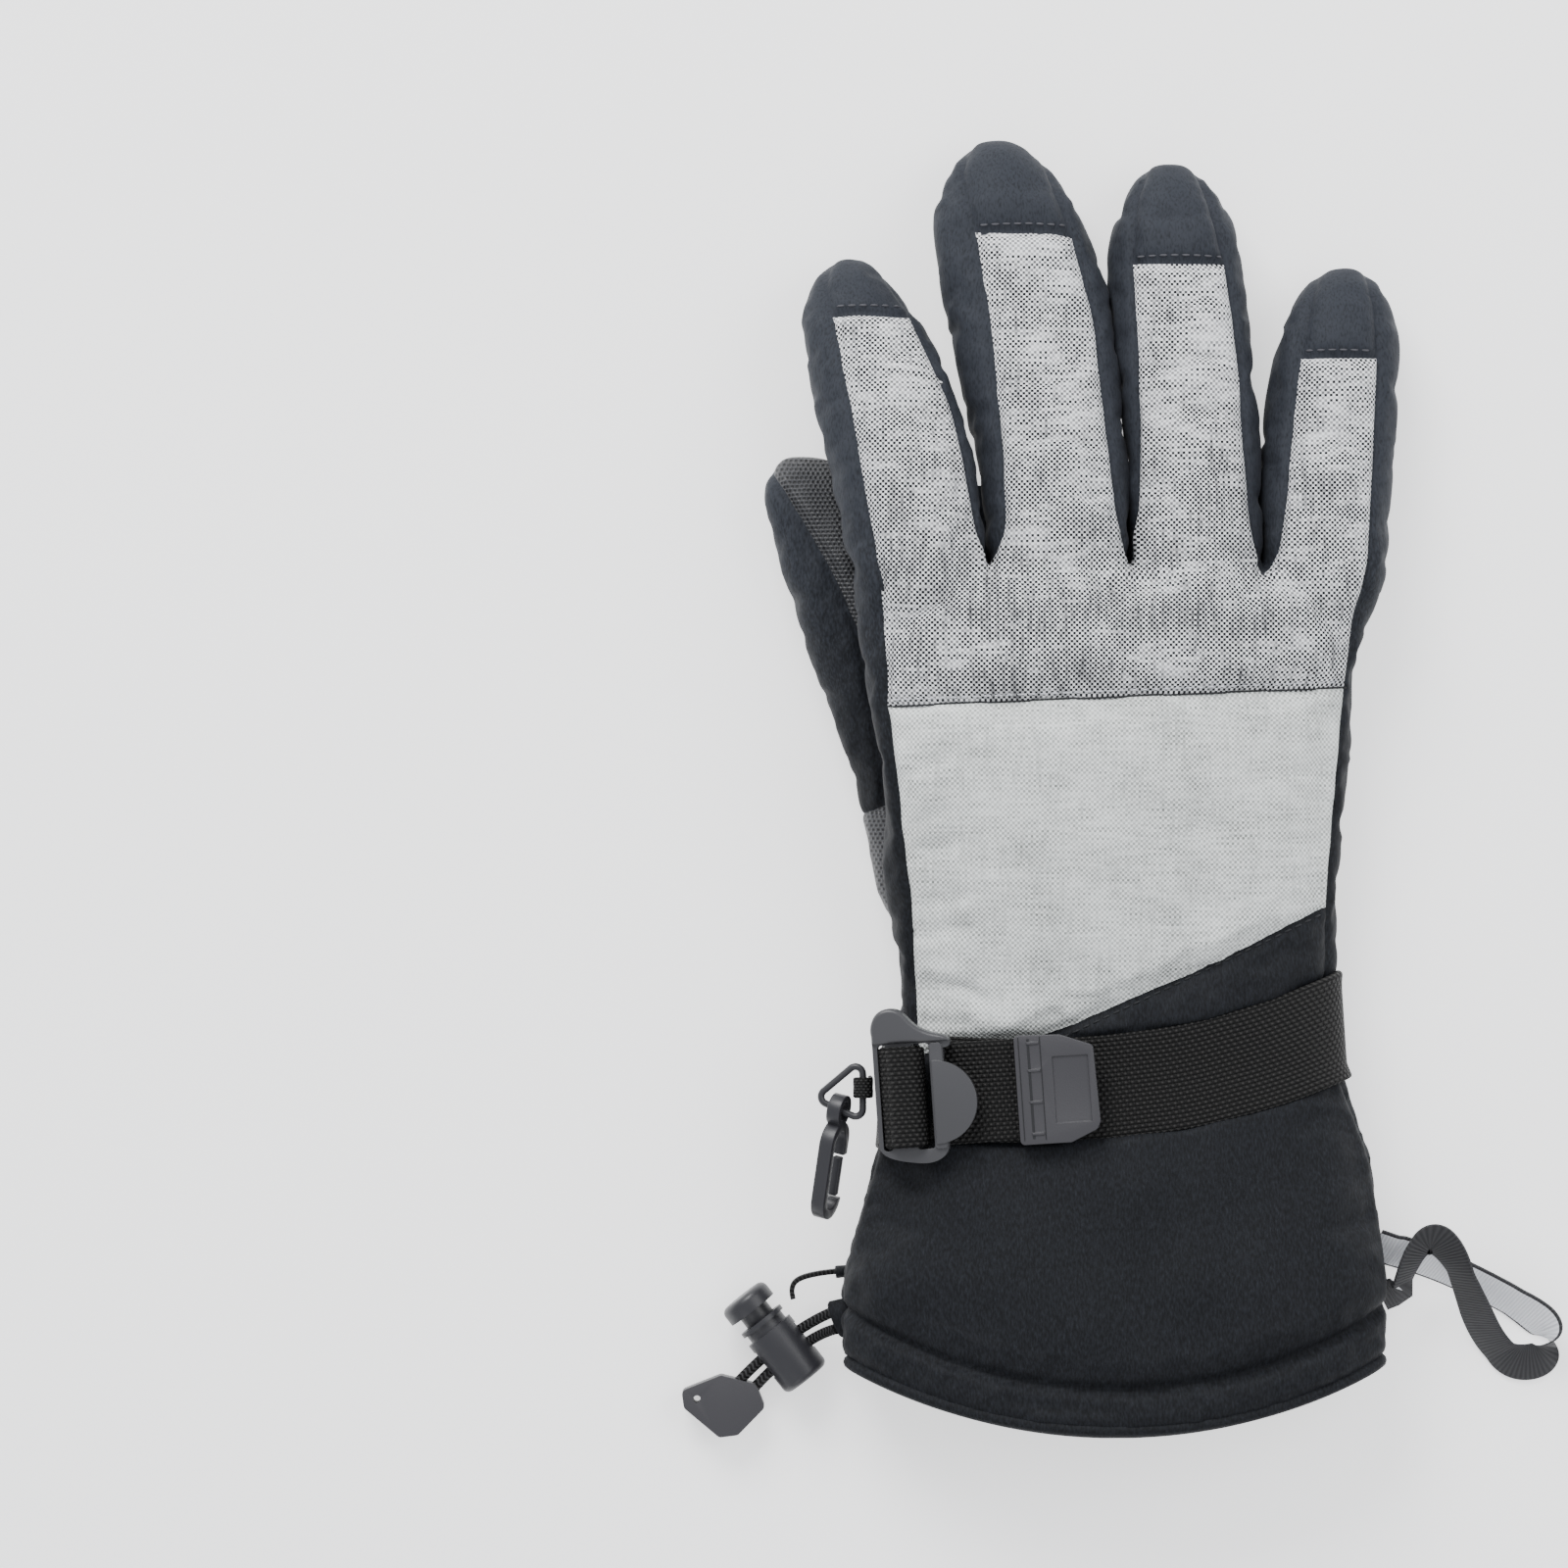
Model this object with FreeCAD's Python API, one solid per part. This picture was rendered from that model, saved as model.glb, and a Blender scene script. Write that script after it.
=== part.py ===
"""Right-hand ski glove, lying palm down.

Millimetres. +Y runs from the cuff to the fingertips, +Z is up out of the back of the hand, and the
thumb is on the -X side. The origin is on the surface the glove lies on, under the middle of its box.
"""
import FreeCAD, Part
import math
import os

from FreeCAD import Vector

os.makedirs("parts", exist_ok=True)

# Layers of the glove's wall, from the outside in
SHELL = 1.2
INSULATION = 2.6
LINING = 0.7
LAYERS = (0.0, SHELL, SHELL + INSULATION, SHELL + INSULATION + LINING)

# Stations along the hand
KNUCKLE_Y = 50.0          # where the finger stalls begin
SHIRRING_TOP_Y = -50.0
CUFF_SEAM_Y = -66.0       # hand meets cuff
HEM_Y = -156.4             # lowest point of the curved hem
HEM_ARC = (7.5, -27.6, 128.8)        # centre x, y and radius of the hem's edge in plan
HEM_SEAM_ARC = (7.5, -22.0, 124.0)   # and of the seam that joins the hem to the cuff

# Travel that the stalls leave room for
CURL_DEG = 45.0
LIFT_DEG = 12.0
JOINT_GAP = 0.4

# Wrist strap and its hardware
WEBBING_WIDTH = 25.0
WEBBING_THICK = 1.7
# The wrist strap's centre line in plan, and its slant at each of those points
STRAP_LINE = ((-36.0, -73.6), (-31.0, -73.9), (-18.0, -74.4), (3.0, -73.8), (24.0, -70.8), (45.0, -65.6),
              (63.0, -59.0), (86.0, -48.4))
STRAP_SLANTS_DEG = (-2.0, -2.0, 0.0, 5.0, 11.5, 17.5, 22.0, 25.0)
HARDWARE_SLANT_DEG = 4.0
HARDWARE_RISE_DEG = 8.0
BUCKLE_CENTRE = Vector(-37.7, -75.4, 35.5)
BUCKLE_THICK = 3.4

# Cords
DRAWCORD_D = 2.6
TETHER_WIDTH = 4.0
RIBBON_WIDTH = 10.5
RIBBON_THICK = 0.9

FAR = 400.0               # past every edge of the glove
SLIVER_SHARE = 0.03       # offcuts smaller than this share of a piece are dropped

# Hand and cuff sections: y, left x, right x, left and right mid-height, left and right half
# thickness, and how far the back is crowned
HAND_SECTIONS = (
    (50.0, -56.8, 72.8, 31.5, 18.6, 12.0, 13.2, 2.0),
    (28.0, -53.0, 66.2, 32.5, 17.8, 13.0, 15.0, 3.5),
    (4.0, -49.0, 64.6, 32.0, 16.8, 13.0, 15.5, 3.8),
    (-25.0, -47.5, 61.6, 24.0, 15.8, 14.5, 15.2, 3.2),
    (-50.0, -44.0, 61.4, 16.8, 15.2, 14.5, 14.6, 2.4),
    (-68.0, -45.0, 62.6, 15.4, 15.0, 14.8, 14.6, 1.8),
    (-90.0, -50.6, 70.6, 16.2, 16.0, 15.8, 15.8, 1.8),
    (-120.0, -58.4, 74.4, 18.3, 18.3, 18.0, 18.0, 2.0),
    (-159.0, -57.6, 73.6, 18.6, 18.6, 18.4, 18.4, 2.2),
)

# Finger sections: y, left x, right x, mid-height, half thickness. The last one is near the tip.
FINGERS = {
    "index": (
        (50.0, -56.2, -23.0, 31.5, 12.2),
        (78.0, -62.2, -26.2, 27.5, 13.0),
        (97.0, -65.7, -31.3, 22.5, 13.2),
        (113.0, -68.3, -40.3, 16.0, 12.6),
        (122.5, -65.5, -46.5, 13.2, 9.6),
        (127.4, -60.5, -52.0, 12.2, 5.0),
    ),
    "middle": (
        (50.0, -21.9, 10.8, 26.0, 14.0),
        (78.0, -24.8, 10.2, 22.6, 14.6),
        (97.0, -29.8, 8.4, 19.6, 14.6),
        (118.0, -34.2, 6.3, 16.0, 14.2),
        (140.0, -35.9, -1.0, 13.0, 12.6),
        (151.0, -31.5, -8.2, 11.8, 9.4),
        (156.4, -25.5, -14.8, 11.4, 4.8),
    ),
    "ring": (
        (50.0, 12.0, 42.8, 23.0, 14.0),
        (80.0, 11.4, 42.6, 19.4, 14.2),
        (110.0, 8.0, 41.0, 15.4, 13.8),
        (133.0, 7.4, 37.4, 13.2, 12.8),
        (145.5, 11.2, 32.0, 12.0, 9.6),
        (150.9, 16.8, 25.6, 11.6, 4.8),
    ),
    "little": (
        (50.0, 44.1, 72.6, 19.2, 13.4),
        (80.0, 44.2, 75.4, 15.8, 13.2),
        (103.0, 45.8, 77.2, 13.2, 12.6),
        (115.0, 49.6, 76.8, 12.4, 11.4),
        (121.5, 54.6, 73.2, 11.8, 8.4),
        (125.6, 59.8, 68.6, 11.4, 4.4),
    ),
}
# Back strip: its left and right edge at the knuckle and at the cap seam, and the seam's y
STRIPS = {
    "index": ((-52.0, -29.0), (-60.4, -42.0), 113.0),
    "middle": ((-17.0, 7.0), (-25.6, -2.0), 133.0),
    "ring": ((15.5, 39.5), (11.6, 34.4), 125.0),
    "little": ((48.0, 69.0), (53.0, 72.8), 102.0),
}

THUMB_SECTIONS = (
    (-12.0, -50.5, -18.0, 9.6, 8.2),
    (4.5, -55.3, -26.0, 9.6, 8.5),
    (18.0, -60.8, -32.8, 10.0, 9.0),
    (35.0, -67.7, -39.8, 10.6, 9.8),
    (54.5, -73.4, -46.6, 10.8, 9.9),
    (70.0, -77.5, -53.0, 10.6, 9.3),
    (76.0, -75.8, -57.0, 10.4, 6.8),
    (79.2, -72.6, -62.4, 10.2, 3.6),
)
THUMB_PIVOT = Vector(-57.6, -2.0, 0.0)
THUMB_AXIS = Vector(-0.36, 0.933, 0.0)


def save(name, shape):
    """Writes one piece, after checking that it is whole."""
    if not shape.isValid() or not shape.Solids:
        print("BAD", name, shape.isValid(), len(shape.Solids))
    largest = max(solid.Volume for solid in shape.Solids)
    pieces = [solid for solid in shape.Solids if solid.Volume > SLIVER_SHARE * largest]
    out = pieces[0] if len(pieces) == 1 else Part.makeCompound(pieces)
    out.exportStep("parts/" + name + ".step")
    box = out.optimalBoundingBox(False, False)
    corners = (box.XMin, box.YMin, box.ZMin, box.XMax, box.YMax, box.ZMax)
    print(f"{name:22s} {len(pieces)} {out.Volume:9.0f}", " ".join(f"{c:7.1f}" for c in corners))


def loop_wire(y, left, right, z_left, z_right, h_left, h_right, bulge, inset, power=2.7):
    """A closed smooth cross-section at y: a rounded oval whose mid-line may slope."""
    points = []
    count = 16
    half = (right - left) / 2 - inset
    middle = (left + right) / 2
    for i in range(count):
        turn = 2 * math.pi * (i + 0.5) / count
        c, s = math.cos(turn), math.sin(turn)
        u = math.copysign(abs(c) ** (2 / power), c)
        v = math.copysign(abs(s) ** (2 / power), s)
        t = (u + 1) / 2
        crown = bulge * (1 - u * u) if v > 0 else 0.0
        height = h_left + (h_right - h_left) * t + crown - inset
        points.append(Vector(middle + half * u, y, z_left + (z_right - z_left) * t + v * height))
    curve = Part.BSplineCurve()
    curve.interpolate(Points=points, PeriodicFlag=True)
    return Part.Wire([curve.toShape()])


def hand_tube(inset):
    """The hand and cuff as one solid, shrunk by inset (a negative inset grows it)."""
    return Part.makeLoft([loop_wire(*s, inset) for s in HAND_SECTIONS], True, True)


def stall_tube(sections, inset):
    """A finger or thumb as one solid, shrunk by inset, its tip drawn back by as much."""
    start, tip = sections[0][0], sections[-1][0]
    scale = (tip - start - inset) / (tip - start)
    wires = []
    for y, left, right, z, h in sections:
        shrink = min(inset, (right - left) / 2 - 1.5, h - 1.2)
        wires.append(loop_wire(start + (y - start) * scale, left, right, z, z, h, h, 0, shrink, 2.3))
    return Part.makeLoft(wires, True, True)


def prism(points, low, high):
    """An upright prism over an outline in plan."""
    corners = [Vector(x, y, low) for x, y in points]
    return Part.Face(Part.makePolygon(corners + corners[:1])).extrude(Vector(0, 0, high - low))


def side_prism(points, low, high):
    """A prism along X over an outline given as y, z."""
    corners = [Vector(low, y, z) for y, z in points]
    return Part.Face(Part.makePolygon(corners + corners[:1])).extrude(Vector(high - low, 0, 0))


def band(y_low, y_high, z_low=-FAR, z_high=FAR):
    """A slab across the whole glove between two y stations."""
    return Part.makeBox(2 * FAR, y_high - y_low, z_high - z_low, Vector(-FAR, y_low, z_low))


def above_mid_line():
    """Everything above the sloping line, at mid thickness, that parts the back from the palm."""
    wires = []
    for y, left, right, z_left, z_right, *_ in HAND_SECTIONS:
        slope = (z_right - z_left) / (right - left)
        low, high = z_left - slope * 20, z_right + slope * 20
        corners = [Vector(left - 20, y, low), Vector(right + 20, y, high),
                   Vector(right + 20, y, FAR), Vector(left - 20, y, FAR)]
        wires.append(Part.makePolygon(corners + corners[:1]))
    return Part.makeLoft(wires, True, True)


def upright_cylinder(x, y, radius):
    """A tall cylinder through the whole glove."""
    return Part.makeCylinder(radius, 2 * FAR, Vector(x, y, -FAR))


def rings(tubes):
    """Turns nested solids into the layers between them."""
    return [outer.cut(inner) for outer, inner in zip(tubes, tubes[1:])]


def hand_and_cuff(thumb_bore):
    """The hand's and the cuff's fabric pieces."""
    tubes = [hand_tube(inset) for inset in LAYERS]
    shell, insulation, lining = rings(tubes)
    hand_band = band(CUFF_SEAM_Y, KNUCKLE_Y)
    whole_cuff = band(HEM_Y - 1, CUFF_SEAM_Y).common(upright_cylinder(*HEM_ARC))
    cuff_band = whole_cuff.common(upright_cylinder(*HEM_SEAM_ARC))

    hand = shell.common(hand_band)
    above = above_mid_line()
    top, bottom = hand.common(above), hand.cut(above)
    knuckle_plan = prism([(-52.0, 60), (70.0, 60), (63.5, 22.6), (-47.7, 18.1)], -FAR, FAR)
    back_plan = prism([(-47.7, 18.1), (63.5, 22.6), (59.6, -30.0), (-10.1, -61.6), (-39.5, -66.0),
                       (-42.0, -30.0)], -FAR, FAR)
    wedge_plan = prism([(59.6, -30.0), (59.6, -80.0), (-39.5, -80.0), (-39.5, -66.0),
                        (-10.1, -61.6)], -FAR, FAR)
    palm_plan = prism([(-50.0, 60), (66.0, 60), (59.0, -30), (57.0, SHIRRING_TOP_Y),
                       (-39.0, SHIRRING_TOP_Y), (-42.0, -20), (-43.0, 4.0)], -FAR, FAR)
    shirring_plan = prism([(57.0, SHIRRING_TOP_Y), (57.0, -80), (-39.0, -80),
                           (-39.0, SHIRRING_TOP_Y)], -FAR, FAR)
    save("knuckle_panel", top.common(knuckle_plan))
    save("back_panel", top.common(back_plan))
    save("wrist_wedge", top.common(wedge_plan))
    save("palm_panel", bottom.common(palm_plan).cut(thumb_bore))
    save("wrist_shirring", bottom.common(shirring_plan))
    top_used = knuckle_plan.multiFuse([back_plan, wedge_plan]).common(above)
    bottom_used = palm_plan.fuse(shirring_plan).cut(above)
    sides = hand.cut(top_used).cut(bottom_used).cut(thumb_bore).Solids
    save("radial_side_panel", Part.makeCompound([s for s in sides if s.CenterOfMass.x < 0]))
    save("ulnar_side_panel", Part.makeCompound([s for s in sides if s.CenterOfMass.x > 0]))
    save("hand_insulation", insulation.common(hand_band).cut(thumb_bore))
    save("hand_lining", lining.common(hand_band.fuse(cuff_band)).cut(thumb_bore))

    cuff = shell.common(cuff_band)
    middle_z = 20.0
    upper = band(-FAR, FAR, middle_z)
    save("cuff_back", cuff.common(upper))
    save("cuff_palm", cuff.cut(upper))
    save("cuff_insulation", insulation.common(cuff_band))
    hem = tubes[0].cut(tubes[2]).common(whole_cuff).cut(upright_cylinder(*HEM_SEAM_ARC))
    save("hem_back", hem.common(upper))
    save("hem_palm", hem.cut(upper))
    return tubes[0]


def curl_room(z, start):
    """Space a finger's solids may fill: its base leaves a notch each side of its hinge."""
    below = math.tan(math.radians(CURL_DEG)) * z
    above = math.tan(math.radians(LIFT_DEG)) * (FAR - z)
    outline = [(start, z), (start + below, 0.0), (start + below, -5.0), (FAR, -5.0), (FAR, FAR),
               (start + above, FAR)]
    return side_prism(outline, -FAR, FAR)


def hinge_height(sections):
    """A finger bends a little below its middle, so its back stretches and its palm folds."""
    return sections[0][3] - 3.0


def finger(name, sections):
    """One finger: back strip, fingertip cap, fourchettes, palm strip, insulation and lining."""
    room = curl_room(hinge_height(sections), KNUCKLE_Y + JOINT_GAP)
    tubes = [stall_tube(sections, inset).common(room) for inset in LAYERS]
    shell, insulation, lining = rings(tubes)
    base, seam, seam_y = STRIPS[name]
    strip_plan = prism([(base[0], KNUCKLE_Y), (base[1], KNUCKLE_Y), (seam[1], seam_y),
                        (seam[0], seam_y)], sections[2][3], FAR)
    cap_plan = prism([(-FAR, seam_y), (FAR, seam_y), (FAR, FAR), (-FAR, FAR)], sections[-1][3], FAR)
    margin = 5.0
    edges = [(y, left + margin, right - margin) for y, left, right, *_ in sections if right - left > 15]
    palm_outline = [(left, y) for y, left, _ in edges] + [(right, y) for y, _, right in reversed(edges)]
    palm_plan = prism(palm_outline, -FAR, sections[-1][3])
    save(name + "_back_strip", shell.common(strip_plan))
    save(name + "_fingertip", shell.common(cap_plan))
    save(name + "_palm_strip", shell.common(palm_plan))
    save(name + "_fourchettes", shell.cut(strip_plan.multiFuse([cap_plan, palm_plan])))
    save(name + "_insulation", insulation)
    save(name + "_lining", lining)


def thumb():
    """The thumb, and the gusset that joins its root to the hand. Returns the gusset's bore."""
    across = Vector(THUMB_AXIS.y, -THUMB_AXIS.x, 0)
    tubes = [stall_tube(THUMB_SECTIONS, inset) for inset in LAYERS]

    def half_space(offset, forward):
        at = THUMB_PIVOT + THUMB_AXIS * offset
        reach = FAR if forward else -FAR
        corners = [at - across * FAR, at + across * FAR, at + across * FAR + THUMB_AXIS * reach,
                   at - across * FAR + THUMB_AXIS * reach]
        return prism([(c.x, c.y) for c in corners], -FAR, FAR)

    ahead = half_space(JOINT_GAP, True)
    moving = [tube.common(ahead) for tube in tubes]
    shell, insulation, lining = rings(moving)
    wrap_plan = prism([(-70.0, 84), (-66.0, 60), (-55.0, 30), (-47.0, 2), (0, 0), (0, 84)], -FAR, FAR)
    save("thumb_palm_wrap", shell.common(wrap_plan))
    save("thumb_back", shell.cut(wrap_plan))
    save("thumb_insulation", insulation)
    save("thumb_lining", lining)
    return tubes, half_space(0.0, False)


def thumb_gusset(hand_solid, tubes, behind):
    """The part of the thumb that is sewn to the palm: from the thumb's root back to the wrist."""
    root_sections = (
        (-46.0, -40.0, -14.0, 12.0, 5.0),
        (-26.0, -50.0, -12.0, 10.6, 8.6),
        (-12.0, -52.5, -14.0, 10.6, 9.4),
        (14.0, -59.5, -24.0, 10.6, 9.6),
    )
    outer = stall_tube(root_sections, 0.0).common(behind)
    inner = stall_tube(root_sections, LAYERS[1]).common(behind)
    save("thumb_gusset", outer.cut(inner).cut(hand_solid))


def gusset_bore():
    """The way from the hand into the thumb."""
    return Part.makeCylinder(9.5, 40.0, Vector(-26.0, -14.0, 0.0), Vector(0, 0, 1))


def in_frame(slant_deg, rise_deg, centre):
    """Placement of hardware whose own +X runs along the strap, +Y across it and +Z out of it."""
    turn = FreeCAD.Rotation(Vector(0, 0, 1), slant_deg)
    tilt = FreeCAD.Rotation(Vector(0, 1, 0), -rise_deg)
    return FreeCAD.Placement(centre, turn.multiply(tilt))


def rounded_plate(length, width, thick, radius, centre=Vector()):
    """A plate with rounded upright edges."""
    plate = Part.makeBox(length, width, thick,
                         centre - Vector(length / 2, width / 2, thick / 2))
    upright = [e for e in plate.Edges if abs(e.tangentAt(e.FirstParameter).z) > 0.9]
    return plate.makeFillet(radius, upright)


def placed(shape, placement):
    """A copy of shape moved to its place on the glove."""
    moved = shape.copy()
    moved.Placement = placement.multiply(moved.Placement)
    return moved


def wrist_strap():
    """Webbing that is sewn at the ulnar side and crosses the wrist to the buckle."""
    under, over = hand_tube(-0.15), hand_tube(-0.15 - WEBBING_THICK)
    sleeve = over.cut(under)
    half = WEBBING_WIDTH / 2
    upper, lower = [], []
    for (x, y), slant_deg in zip(STRAP_LINE, STRAP_SLANTS_DEG):
        turn = math.radians(slant_deg)
        upper.append((x - half * math.sin(turn), y + half * math.cos(turn)))
        lower.append((x + half * math.sin(turn), y - half * math.cos(turn)))
    plan = prism(upper + lower[::-1], -FAR, FAR)
    wrap = Part.makeBox(2 * FAR, 2 * FAR, FAR, Vector(-FAR, -FAR, 18.0)).fuse(
        Part.makeBox(FAR, 2 * FAR, FAR, Vector(49.0, -FAR, -FAR + 18.0)))
    save("wrist_strap", sleeve.common(plan).common(wrap))

    anchor_plan = prism([(-60, -89.5), (-45.4, -89.5), (-45.4, -63.5), (-60, -63.5)], 6.0, 30.5)
    save("buckle_anchor", sleeve.common(anchor_plan))


def plan_curve(points, z):
    """Smooth edge through points in plan."""
    curve = Part.BSplineCurve()
    curve.interpolate([Vector(x, y, z) for x, y in points])
    return curve.toShape()


def buckle(placement):
    """Buckle: a frame with a shaped shoulder, two slots, a rail and a raised D-shaped lip."""
    bottom = -BUCKLE_THICK / 2
    left, right, lip_radius, lip_y = -12.4, 4.6, 10.0, -1.6
    shoulder = [(left, 15.0), (-12.2, 18.2), (-10.6, 20.6), (-7.8, 21.5), (-5.0, 20.6), (-2.8, 18.2),
                (0.4, 15.9), (3.6, 14.8), (6.0, 13.7), (6.4, 12.4), (right, 11.4)]
    foot = [(right, -12.2), (3.4, -14.6), (0.4, -16.0), (-4.4, -15.8), (-8.8, -14.8), (-11.5, -13.2),
            (left, -10.8)]
    outline = Part.Wire([
        plan_curve(shoulder, bottom),
        Part.LineSegment(Vector(right, 11.4, bottom), Vector(right, -12.2, bottom)).toShape(),
        plan_curve(foot, bottom),
        Part.LineSegment(Vector(left, -10.8, bottom), Vector(left, 15.0, bottom)).toShape(),
    ])
    frame = Part.Face(outline).extrude(Vector(0, 0, BUCKLE_THICK))
    anchor_slot = rounded_plate(2.2, 25.4, 10, 0.8, Vector(-10.1, 0, 0))
    web_slot = rounded_plate(4.2, 25.4, 10, 0.8, Vector(-0.9, 0, 0))
    lip = Part.makeCylinder(lip_radius, 2.0, Vector(2.2, lip_y, 1.0))
    lip = lip.common(Part.makeBox(20, 30, 10, Vector(1.8, -15, -1)))
    rail = rounded_plate(3.0, 25.4, 2.6, 0.8, Vector(2.9, 0, 1.2))
    crest = Part.Face(outline).extrude(Vector(0, 0, BUCKLE_THICK + 1.4))
    crest = crest.common(Part.makeBox(30, 12, 20, Vector(-20, 13.0, -10)))
    top_edges = [e for e in crest.Edges
                 if abs(e.CenterOfMass.z - (bottom + BUCKLE_THICK + 1.4)) < 1e-3]
    crest = crest.makeFillet(1.0, top_edges)
    body = frame.cut(anchor_slot).cut(web_slot).fuse([crest, lip, rail]).removeSplitter()
    save("ladder_buckle", placed(body, placement))


def strap_tail(placement):
    """The strap's free end and its moulded pull tab, in the buckle's frame."""
    low = -3.6
    tail = Part.makeBox(27.0, 24.4, 1.5, Vector(4.7, -12.2, low))
    save("strap_tail", placed(tail, placement))
    outline = [(21.6, -13.4), (34.0, -13.4), (40.4, -10.6), (41.2, -8.8), (40.6, 9.6), (32.6, 12.6),
               (21.6, 13.0)]
    top = low + 1.5 + 0.02
    tab = prism(outline, top, top + 1.9)
    edges = [e for e in tab.Edges if abs(e.tangentAt(e.FirstParameter).z) > 0.9]
    tab = tab.makeFillet(1.2, edges)
    panel = Part.makeBox(8.6, 16.0, 1.0, Vector(30.6, -8.6, top + 1.4))
    tab = tab.cut(panel)
    for y in (-11.2, -3.6, 4.0, 10.6):
        tab = tab.fuse(Part.makeBox(3.0, 0.7, 0.4, Vector(24.6, y, top + 1.85)))
    save("strap_tab", placed(tab, placement))


def rounded_loop(corners, fillet, wire_radius):
    """Round bar bent into a closed shape with filleted corners."""
    edges = []
    ends = []
    count = len(corners)
    for i, corner in enumerate(corners):
        before, after = corners[i - 1], corners[(i + 1) % count]
        back = (before - corner).normalize()
        on = (after - corner).normalize()
        half = back.getAngle(on) / 2
        reach = fillet / math.tan(half)
        start, stop = corner + back * reach, corner + on * reach
        centre_way = (back + on).normalize()
        centre = corner + centre_way * (fillet / math.sin(half))
        edges.append(Part.Arc(start, centre - centre_way * fillet, stop).toShape())
        ends.append((start, stop))
    for i in range(count):
        edges.append(Part.LineSegment(ends[i - 1][1], ends[i][0]).toShape())
    path = Part.Wire(Part.sortEdges(edges)[0])
    first = path.OrderedEdges[0]
    at = first.valueAt(first.FirstParameter)
    way = first.tangentAt(first.FirstParameter)
    section = Part.Wire([Part.makeCircle(wire_radius, at, way)])
    return path.makePipeShell([section], True, True, 1)


RING_Z = 29.6
RING_BAR_X = -53.2
HOOK_EYE = Vector(-59.0, -79.0, 28.6)
HOOK_LEAN_DEG = -8.0       # in plan, away from the cuff
HOOK_SLOPE_DEG = 14.0      # down towards the hem
HOOK_TURN_DEG = -22.0      # about its own length
TAB_WIDTH = 5.0
TAB_Y = -76.2


def ring_and_hook():
    """Triangle ring on its webbing tab, and the snap hook that hangs on it."""
    corners = [Vector(RING_BAR_X, -66.6, RING_Z), Vector(RING_BAR_X, -81.6, RING_Z),
               Vector(-64.8, -76.4, RING_Z - 2.0)]
    save("triangle_ring", rounded_loop(corners, 1.8, 0.85))
    tab = Part.makeBox(3.9, TAB_WIDTH, 0.9, Vector(RING_BAR_X - 1.5, TAB_Y, RING_Z - 2.2))
    leg = Part.makeBox(0.9, TAB_WIDTH, 12.0, Vector(RING_BAR_X + 1.5, TAB_Y, RING_Z - 14.0))
    top = Part.makeBox(3.9, TAB_WIDTH, 0.9, Vector(RING_BAR_X - 1.5, TAB_Y, RING_Z + 1.3))
    post = Part.makeBox(0.9, TAB_WIDTH, 4.0, Vector(RING_BAR_X + 1.5, TAB_Y, RING_Z - 2.0))
    save("ring_tab", tab.fuse([leg, top, post]).removeSplitter())

    lean = FreeCAD.Rotation(Vector(0, 0, 1), HOOK_LEAN_DEG)
    slope = FreeCAD.Rotation(Vector(1, 0, 0), HOOK_SLOPE_DEG)
    turn = FreeCAD.Rotation(Vector(0, 1, 0), HOOK_TURN_DEG)
    place = FreeCAD.Placement(HOOK_EYE, lean.multiply(slope).multiply(turn))
    thick = 3.4

    def flat_ring(y_low, y_high, half_width, wall):
        outer = slot_face(y_low, y_high, half_width)
        inner = slot_face(y_low + wall, y_high - wall, half_width - wall)
        return outer.cut(inner)

    def slot_face(y_low, y_high, half_width):
        low, high = y_low + half_width, y_high - half_width
        wire = Part.Wire([
            Part.LineSegment(Vector(0, low, half_width), Vector(0, high, half_width)).toShape(),
            Part.Arc(Vector(0, high, half_width), Vector(0, high + half_width, 0),
                     Vector(0, high, -half_width)).toShape(),
            Part.LineSegment(Vector(0, high, -half_width), Vector(0, low, -half_width)).toShape(),
            Part.Arc(Vector(0, low, -half_width), Vector(0, low - half_width, 0),
                     Vector(0, low, half_width)).toShape(),
        ])
        return Part.Face(wire).extrude(Vector(thick, 0, 0)).translated(Vector(-thick / 2, 0, 0))

    eye = flat_ring(-3.9, 3.8, 3.7, 1.5)
    frame = flat_ring(-27.5, -3.0, 5.4, 2.3)
    gate_gap = Part.makeBox(thick + 2, 11.0, 4.0, Vector(-thick / 2 - 1, -23.0, -6.0))
    save("hook_body", placed(eye.fuse(frame).removeSplitter().cut(gate_gap), place))
    gate = Part.makeBox(2.2, 9.8, 1.7, Vector(-1.1, -22.6, -5.1))
    save("hook_gate", placed(gate, place))


def cord_tube(points, diameter, name):
    """A cord: straight runs joined by tangent arcs as large as the runs allow."""
    edges = []
    at = points[0]
    radii = []
    for before, corner, after in zip(points, points[1:], points[2:]):
        back, on = before - corner, after - corner
        shorter = min(back.Length, on.Length)
        turn = math.pi - back.getAngle(on)
        reach = 0.45 * shorter
        radius = reach / math.tan(turn / 2)
        radii.append(round(radius, 1))
        back.normalize()
        on.normalize()
        start, stop = corner + back * reach, corner + on * reach
        way = (back + on).normalize()
        middle = corner + way * (math.hypot(reach, radius) - radius)
        edges.append(Part.LineSegment(at, start).toShape())
        edges.append(Part.Arc(start, middle, stop).toShape())
        at = stop
    edges.append(Part.LineSegment(at, points[-1]).toShape())
    path = Part.Wire(edges)
    way = edges[0].tangentAt(edges[0].FirstParameter)
    section = Part.Wire([Part.makeCircle(diameter / 2, points[0], way)])
    tube = path.makePipeShell([section], True, True, 1)
    ratio = tube.Volume / (math.pi * diameter ** 2 / 4 * path.Length)
    print(f"  {name}: length {path.Length:.1f}, volume ratio {ratio:.3f}, radii {radii}")
    save(name, tube)


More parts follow.
